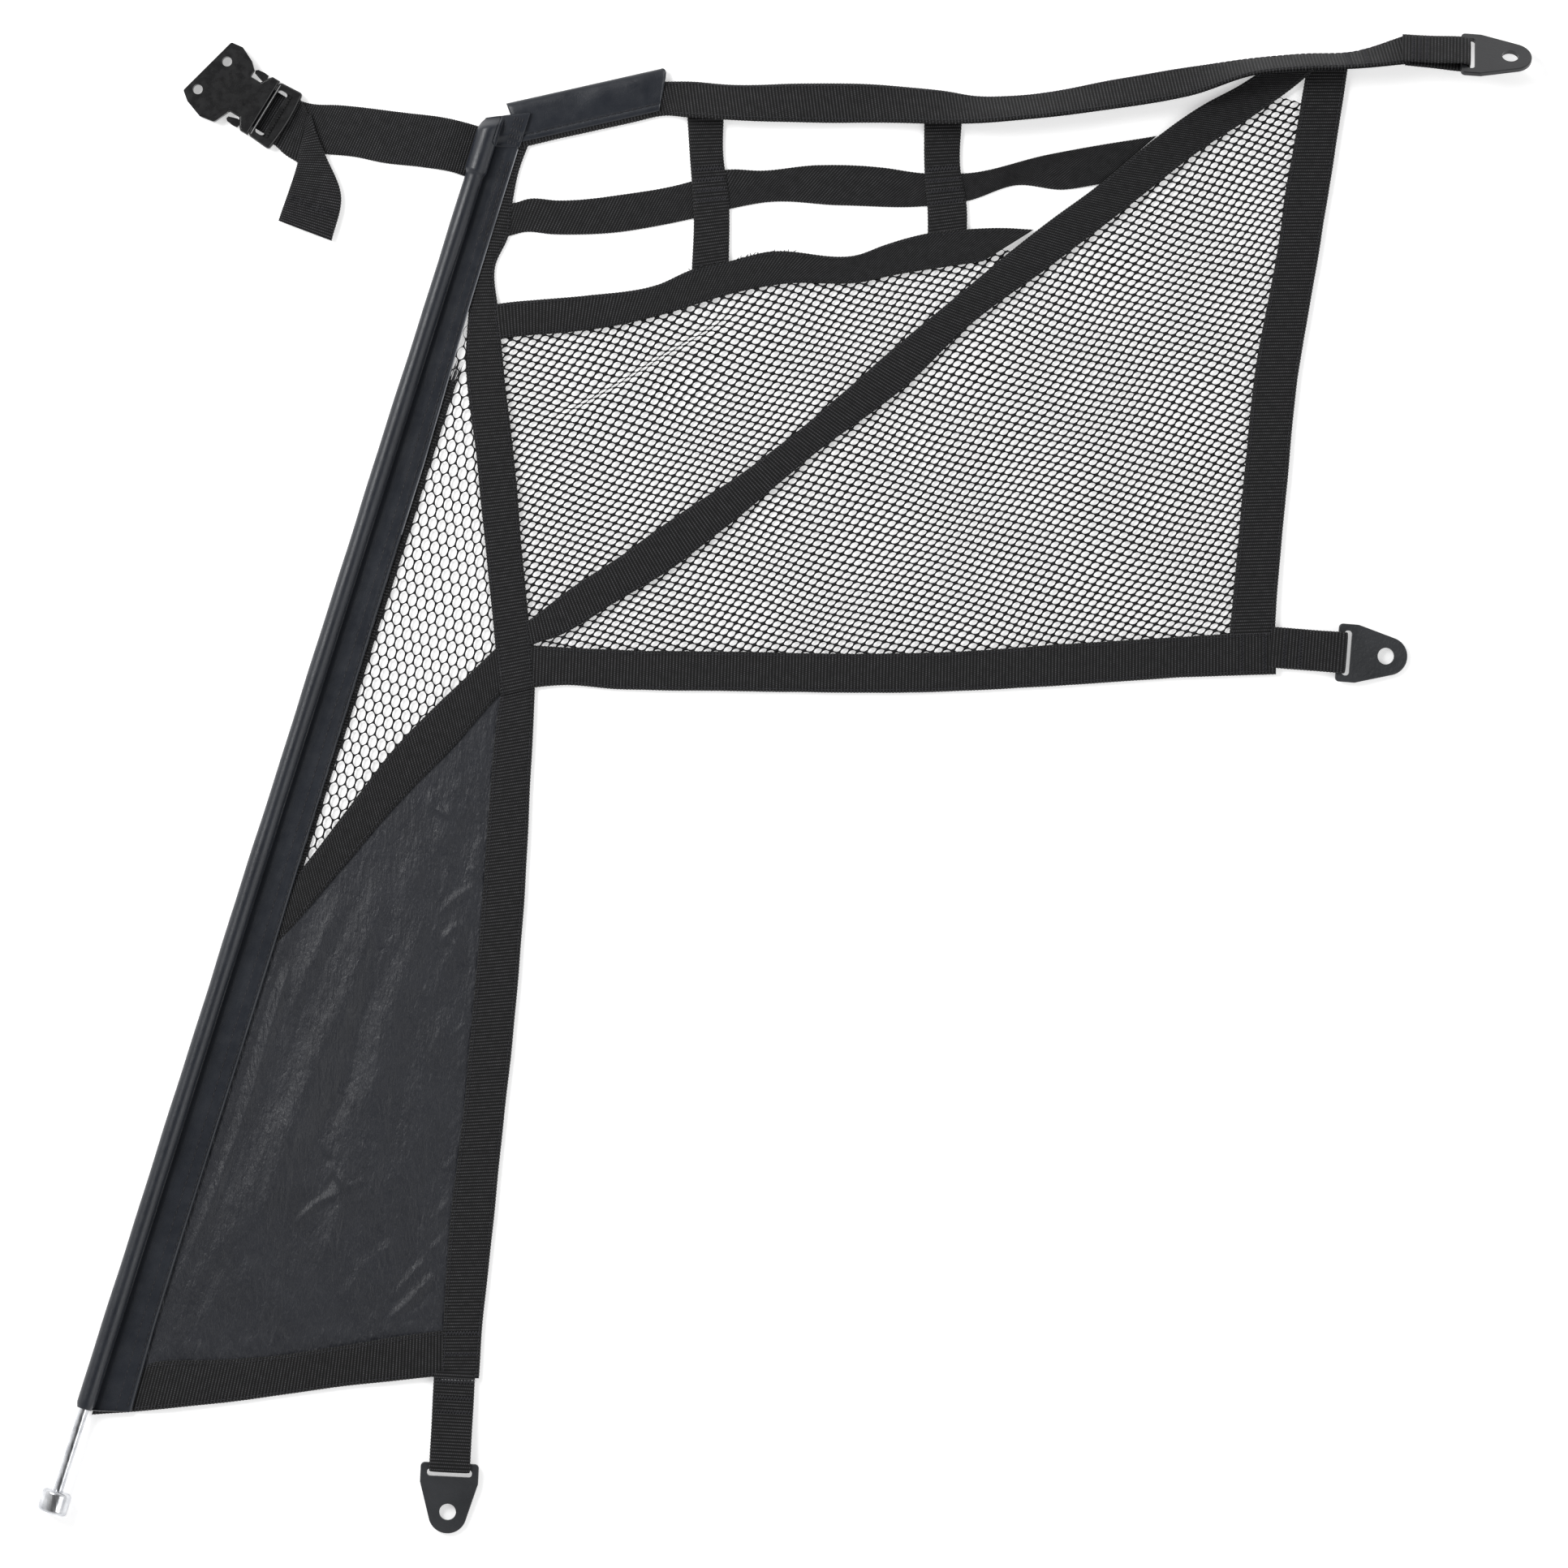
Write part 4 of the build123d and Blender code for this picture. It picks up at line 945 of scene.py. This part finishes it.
def sleeve_row(route, z=None):
    """A line on the flange of the sleeve, from points (s, d), and its normals."""
    route_s, route_d = zip(*route)
    ss = np.arange(route_s[0], route_s[-1], 1.0)
    dd = np.interp(ss, route_s, route_d)
    top = FLANGE_TOP + 0.32 + 0.25 * smooth(700, 790, ss) if z is None else np.full(len(ss), z)
    line = np.concatenate([MOUTH + dd[:, None] * RIGHT + ss[:, None] * UP, top[:, None]], 1)
    return line, upward(len(ss))


rows = [
    sleeve_row([(4, 18.2), (60, 17.1), (300, 17.1), (420, 16.6), (600, 15.6), (700, 13.9), (792, 13.3)]),
    sleeve_row([(8, 24.2), (60, 23.1), (300, 23.0), (420, 22.2), (600, 20.4), (700, 18.4), (792, 17.9)]),
    sleeve_row([(740, 14.6), (792, 14.3)]),
    sleeve_row([(740, 16.9), (792, 16.8)]),
]
place(stitches("stitching_sleeve", rows, thread_mat, 3.0, 0.7, 0.34, 0.24), "sleeve", "vinyl")

border, _ = ribbon(
    "webbing_sleeve_border", [on_sleeve(6, 34), on_sleeve(6, 655)],
    [on_sleeve(27.4, 40), on_sleeve(27.3, 300), on_sleeve(26.9, 420), on_sleeve(27.2, 560),
     on_sleeve(27.0, 655)],
    webbing_mat, 1.1, settle=0.0,
)
place(border, "sleeve", "webbing", "front_border_strap")

# the border webbing's cut end
FRAYS = 46
roots = np.array([
    on_sleeve(20 + 7.5 * k / FRAYS, 654 + dice.uniform(-1, 1), 1.2) for k in range(FRAYS)
])
tips = np.array([
    on_sleeve(
        19.5 + 8.5 * k / FRAYS + dice.uniform(-1.6, 1.6),
        657 + dice.uniform(1, 11),
        1.5 + dice.uniform(-0.4, 0.8),
    )
    for k in range(FRAYS)
])
frayed = threads("frayed_ends", roots, tips, upward(FRAYS), thread_mat, 0.17, 0.15)
place(frayed, "sleeve", "webbing")


# ---- end flap -----------------------------------------------------------------------------------
# A patch that lies over the closed end of the sleeve, from its lower edge to the sleeve's end.
FLAP_D, FLAP_RIGHT_D, FLAP_S = 5.0, 20.9, 796.4
across = np.linspace(0, 1, 40)
along = np.concatenate([[0.0, 0.004, 0.016, 0.04], np.linspace(0.08, 1, 24)])
sheet_top, sheet_under = [], []
for k, w in enumerate(across):
    fd = FLAP_D + w * (FLAP_RIGHT_D - FLAP_D)
    low = FLAP_S + 0.28 * (fd - FLAP_D) + 2.2 * max(0.0, 1 - (fd - FLAP_D) / 2.2) ** 2
    high = SLEEVE_END + 0.46 * (fd + 5) - 0.35
    for q in along:
        fs = low + q * (high - low)
        ease = float(smooth(803.5, SLEEVE_END, fs - 0.46 * (fd + 5)))
        tube = 0.0
        if fd < 6.5:
            tube = ROD_Z - 2.3 * ease + sqrt(max(0.0, 6.75**2 - fd**2)) * (1 - 0.82 * ease)
        slant = 0.46 * (fd + 5) * float(smooth(780, 810, fs))
        base = 4.65 + 2.1 * float(smooth(794.5, 799, fs - slant))
        top = max(base + 0.25 + 0.25 * sin(pi * w), tube + 0.35)
        top = top + (0.75 if q > 0.01 else 0.45)
        rim = 0.35 if k in (0, len(across) - 1) else 0.0
        sheet_top.append((*on_sleeve(fd, fs), top - rim))
        sheet_under.append((*on_sleeve(fd, fs), top - 1.0))
across_n, along_n = len(across), len(along)
quads = grid_faces(across_n, along_n)
total = across_n * along_n
border_line = np.concatenate([
    np.arange(along_n),
    np.arange(1, across_n) * along_n + along_n - 1,
    (across_n - 1) * along_n + np.arange(along_n - 2, -1, -1),
    np.arange(across_n - 2, 0, -1) * along_n,
])
rim_next = np.roll(border_line, -1)
rim_quads = np.stack([border_line, rim_next, rim_next + total, border_line + total], 1)
flap = mesh_object(
    "vinyl_end_flap", np.array(sheet_top + sheet_under),
    np.concatenate([quads, quads[:, ::-1] + total, rim_quads]).tolist(), vinyl_mat,
)
place(flap, "sleeve", "vinyl", "sleeve_end_flap")
flap_rows = [sleeve_row([(800, x), (818.5, x - 0.2)], 8.1) for x in (13.2, 14.6, 16.4, 17.9)]
place(stitches("stitching_flap", flap_rows, thread_mat, 2.6, 0.7, 0.36, 0.26), "sleeve", "vinyl")


# ---- handle cover -------------------------------------------------------------------------------
# Vinyl folded round the top strap and sewn along its lower edge. Its right end is open.
COVER_TOP = [(-166.4, 408.9), (-120, 419.3), (-73.3, 429.8)]
COVER_LOW = [(-157.5, 385.5), (-116, 394.8), (-74.8, 404.1)]
count = 90
top_line, low_line = spline(COVER_TOP, count), spline(COVER_LOW, count)
profile = [
    # share of the way from the upper fold to the lower edge, and height
    (0.03, 0.9), (0.0, 2.0), (0.012, 3.4), (0.05, 4.6), (0.12, 5.2), (0.25, 5.5), (0.42, 5.55),
    (0.6, 5.4), (0.76, 5.2), (0.815, 5.0), (0.835, 4.65), (0.855, 4.9), (0.9, 5.0), (0.96, 4.9),
    (0.985, 4.7), (1.0, 4.2), (1.0, 3.0), (0.985, 1.4), (0.95, 0.7), (0.75, 0.35), (0.4, 0.3),
    (0.12, 0.4),
]
t = np.linspace(0, 1, count)
rings = []
for k in range(count):
    ring = []
    for share, h in profile:
        flat_point = top_line[k] + share * (low_line[k] - top_line[k])
        dent = 0.18 * sin(9 * t[k] + 5 * share) + 0.1 * sin(23 * t[k] + 3 * share)
        shrink = 1 - 0.12 * (1 - smooth(0, 0.02, t[k])) if t[k] < 0.5 else 1.0
        depth = 1 if 0.1 < share < 0.75 and h > 3 else 0.2
        ring.append((*flat_point, 0.3 + (h - 0.3) * shrink + dent * depth))
    rings.append(ring)
outward = unit(np.array((*(top_line[-1] - top_line[-2]), 0.0)))
shares = np.array([p[0] for p in profile])
jut = np.interp(shares, [0, 0.03, 0.15, 1.0], [0.4, 1.8, 3.1, 0.0])[:, None]
last_ring = np.array(rings[-1])
middle = last_ring.mean(0)
# the rolled lip of the open end: how much wider, how far out with the fold, and how far in all
for grow, out, push in (
    (1.0, 0.35, 0.0), (1.0, 0.7, 0.0), (1.035, 0.85, 0.0), (1.045, 1.0, 0.1), (1.02, 1.0, 0.45),
    (0.96, 1.0, 0.5), (0.86, 1.0, 0.2), (0.82, 1.0, -1.0), (0.8, 0.0, -6.0),
):
    sideways = 1 + (grow - 1) * 0.25
    scale = np.array((sideways, sideways, grow if grow >= 1 else 1 - 3.2 * (1 - grow) * 0.6))
    rings.append((middle + (last_ring - middle) * scale + outward * (out * jut + push)).tolist())
cover = mesh_object(
    "vinyl_handle_cover", np.array(rings).reshape(-1, 3), loft_faces(len(rings), len(profile)),
    vinyl_mat,
)
place(cover, "fold", "vinyl", "handle_cover", "handle_cover_front_end")
seam_share = np.linspace(0.855, 0.815, count)[:, None]
seam_line = top_line + seam_share * (low_line - top_line)
seam_line = np.concatenate([seam_line, np.full((count, 1), 4.92)], 1)[6:-1]
seam_rows = [(seam_line, upward(len(seam_line)))]
place(stitches("stitching_handle", seam_rows, thread_mat, 3.2, 0.9, 0.34, 0.26), "fold", "vinyl")


# ---- strap to the buckle --------------------------------------------------------------------------
def fine_ribbon(name, edge_a, edge_b):
    return ribbon(name, edge_a, edge_b, buckle_webbing_mat, settle=0.0, pitch=FINE_PITCH)[0]


obj = fine_ribbon(
    "webbing_buckle_strap",
    [on_buckle(12, 14.6, 0.72), (-286.6, 409.4, 0.72), (-266, 407.9, 0.72), (-226.4, 403.5, 0.75),
     (-197.1, 399.1, 0.8), on_sleeve(-4, 805.5, 0.8), on_sleeve(20, 803, 0.8)],
    [on_buckle(12, -14.6, 0.72), (-296, 379.8, 0.72), (-276.3, 378.6, 0.72), (-258.7, 376.9, 0.72),
     (-241.1, 373.2, 0.75), (-217.6, 370.8, 0.8), (-197.1, 367.2, 0.8), on_sleeve(-4, 774.5, 0.8),
     on_sleeve(20, 784, 0.8)],
)
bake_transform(obj)
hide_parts("buckle_strap_anchor", "buckle_strap")

# its free end, which leaves the buckle frame and lies beside it with a folded hem
tail_exit = fine_ribbon(
    "webbing_tail_exit",
    [on_buckle(11.2, 15.5, 3.6), on_buckle(17.0, 15.8, 2.9), (-287.4, 407.2, 2.5),
     (-284.3, 400.5, 2.6)],
    [on_buckle(11.2, -15.5, 3.6), on_buckle(17.5, -15.6, 2.9), (-300, 378.4, 2.3),
     (-290.6, 372.6, 2.3)],
)
tail = fine_ribbon(
    "webbing_tail",
    [(-287.0, 398, 3.3), (-288.4, 388, 4.2), (-291.6, 372.9, 4.3), (-297.2, 355.5, 4.2),
     (-303.2, 338.3, 4.4)],
    [(-283.9, 403.5, 3.4), (-280.0, 390.0, 4.4), (-275.3, 378.4, 4.4), (-265.5, 353.1, 4.2),
     (-271.2, 326.2, 4.4)],
)
tail_hem = fine_ribbon(
    "webbing_tail_hem",
    [(-296.2, 355.0, 2.6), (-302.8, 338.5, 2.75)], [(-266.7, 343.5, 2.6), (-271.6, 326.8, 2.75)],
)
wrap = fine_ribbon(
    "webbing_round_bar", [on_buckle(-4, 13.0, 2.6), on_buckle(9.5, 13.0, 3.0)],
    [on_buckle(-4, -13.0, 2.6), on_buckle(9.5, -13.0, 3.0)],
)
lines = []
for k in (0.0, 1.5, 2.9):
    left, right = (-295.8 - 0.36 * k, 353.6 - k, 5.25), (-267.6 - 0.36 * k, 342.8 - k, 5.25)
    lines.append((np.linspace(left, right, 30), upward(30)))
tail_stitches = stitches("stitching_tail", lines, thread_mat, 2.0, 0.6, 0.3, 0.24)
for obj, replaced in (
    (tail_exit, []), (tail, ["buckle_strap_tail"]), (tail_hem, []), (tail_stitches, []),
    (wrap, []),
):
    place(obj, "buckle_strap", "buckle_webbing", *replaced)


# ---- loops that hold the bolt tabs ----------------------------------------------------------------
def turned(angle, axis):
    """The rotation by this many degrees about the z or the x axis."""
    cosine, sine = cos(radians(angle)), sin(radians(angle))
    if axis == "z":
        return np.array(((cosine, -sine, 0), (sine, cosine, 0), (0, 0, 1)))
    return np.array(((1, 0, 0), (0, cosine, -sine), (0, sine, cosine)))


# The webbing goes round the tab's bar and back, over the end of its strap. Each loop has its bar's
# middle, its direction, how far back it goes, its lean, and the bar's height above its underside.
BAR_RADIUS = 2.6
LOOP_R = BAR_RADIUS + WEB / 2
LOOP_HALF = 12.25
STACK = 3 * WEB
BAR_Z = BAR_RADIUS + WEB + 0.05
loop_faces = {}
for label, bar, turn, length, tilt, sink in (
    ("lower_rear", (334.4, 79.0, BAR_Z), -4.5, 37.0, 0.0, BAR_Z),
    ("bottom", (-200.2, -409.6, BAR_Z), -92.9, 51.6, 0.0, BAR_Z),
    ("top_rear", (408.3, 437.6, 13.7), -4.2, 32.2, -44.0, STACK / 2),
):
    axes = turned(turn, "z") @ turned(tilt, "x")
    base = np.array(bar) + axes @ np.array((-length, 0, -sink))
    front_z, back_z = sink + LOOP_R, sink - LOOP_R
    path = [
        (-5.0, STACK - WEB / 2 + 0.25), (length * 0.4, (STACK - WEB / 2) * 0.65 + front_z * 0.35),
        (length - 4, front_z - 0.1), (length - 0.4, front_z),
        *((length + LOOP_R * cos(a), sink + LOOP_R * sin(a)) for a in (0.9, 0.35, -0.35, -0.9)),
        (length - 0.4, back_z), (length - 4, back_z + 0.1),
        (length * 0.4, 0.65 * WEB / 2 + 0.35 * back_z), (-3.0, WEB / 2),
    ]
    a, b = (
        [base + axes @ np.array((along, half, z)) for along, z in path]
        for half in (LOOP_HALF, -LOOP_HALF)
    )
    obj, loop_faces[label] = ribbon(
        f"webbing_loop_{label}", a, b, webbing_mat, settle=0.0, side=1
    )
    place(obj, "net", "webbing", f"strap_loop_{label}")

# each row of bartacks by its strap and its places along it
for label, face, places, body in (
    ("lower_rear", loop_faces["lower_rear"], (0.1, 0.2), "net"),
    ("bottom", loop_faces["bottom"], (0.05, 0.13, 0.2), "net"),
    ("top_rear", loop_faces["top_rear"], (0.08, 0.13, 0.18), "net"),
    ("bottom_strap", straps["bottom"], (0.955, 0.985), "net"),
    ("centre_strap", straps["centre_lower"], (0.935, 0.965), "net"),
    ("ladder_1", straps["ladder_1"], (0.38, 0.44, 0.5, 0.56), "net"),
    ("ladder_2", straps["ladder_2"], (0.42, 0.5, 0.58, 0.66), "net"),
    ("top_strap", straps["top_front"], (0.935, 0.955), "fold"),
):
    bartacks(f"bartacks_{label}", face, places, body)
rub = [(np.linspace((-206, -357.6, 4.35), (-184, -358.4, 4.35), 40), upward(40))]
place(stitches("worn_stitch_line", rub, worn_thread_mat, 1.6, 0.25, 0.3, 0.2), "net", "webbing")


# ---- stage --------------------------------------------------------------------------------------
scene = bpy.context.scene
scene.view_settings.view_transform = "Standard"
scene.view_settings.look = "None"

floor_mat = material("studio_floor", (0.93, 0.93, 0.93), 0.9)
floor_shader = floor_mat.node_tree.nodes["Principled BSDF"]
floor_shader.inputs["Emission Color"].default_value = (1, 1, 1, 1)
floor_shader.inputs["Emission Strength"].default_value = 0.42
FLOOR_HALF, FLOOR_Z = 4000, -0.6
floor_points = [
    (x * FLOOR_HALF, y * FLOOR_HALF, FLOOR_Z) for x, y in ((-1, -1), (1, -1), (1, 1), (-1, 1))
]
floor = mesh_object("studio_floor", floor_points, [[0, 1, 2, 3]], floor_mat)

# The sky is bright near the horizon and darker overhead.
world = bpy.data.worlds.new("studio")
world.use_nodes = True
links, make = world.node_tree.links, world.node_tree.nodes.new
background = world.node_tree.nodes["Background"]
background.inputs["Color"].default_value = (1, 1, 1, 1)
split, darker = make("ShaderNodeSeparateXYZ"), make("ShaderNodeMapRange")
links.new(make("ShaderNodeTexCoord").outputs["Generated"], split.inputs[0])
links.new(split.outputs[2], darker.inputs["Value"])
for socket, value in (("From Min", 0.35), ("From Max", 0.97), ("To Min", 0.95), ("To Max", 0.12)):
    darker.inputs[socket].default_value = value
links.new(darker.outputs[0], background.inputs["Strength"])
scene.world = world


def area_light(name, location, aim, size, power):
    """A square soft light."""
    light = bpy.data.lights.new(name, "AREA")
    light.shape, light.size, light.energy = "SQUARE", size, power
    obj = bpy.data.objects.new(name, light)
    obj.location = location
    direction = Vector(aim) - Vector(location)
    obj.rotation_euler = direction.to_track_quat("-Z", "Y").to_euler()
    scene.collection.objects.link(obj)


area_light("key", (-1.5, 1.1, 1.9), (0, 0, 0), 1.1, 42)
area_light("fill", (1.6, -0.9, 2.0), (0, 0, 0), 1.6, 14)

HEIGHT, VIEW_WIDTH = 6.0, 0.9424       # metres
SENSOR = 36
camera_data = bpy.data.cameras.new("camera")
camera_data.sensor_width = SENSOR
camera_data.lens = SENSOR * HEIGHT / VIEW_WIDTH
camera_data.clip_end = 40
camera = bpy.data.objects.new("camera", camera_data)
camera.location = (0.0005, 0, HEIGHT)
scene.collection.objects.link(camera)
scene.camera = camera
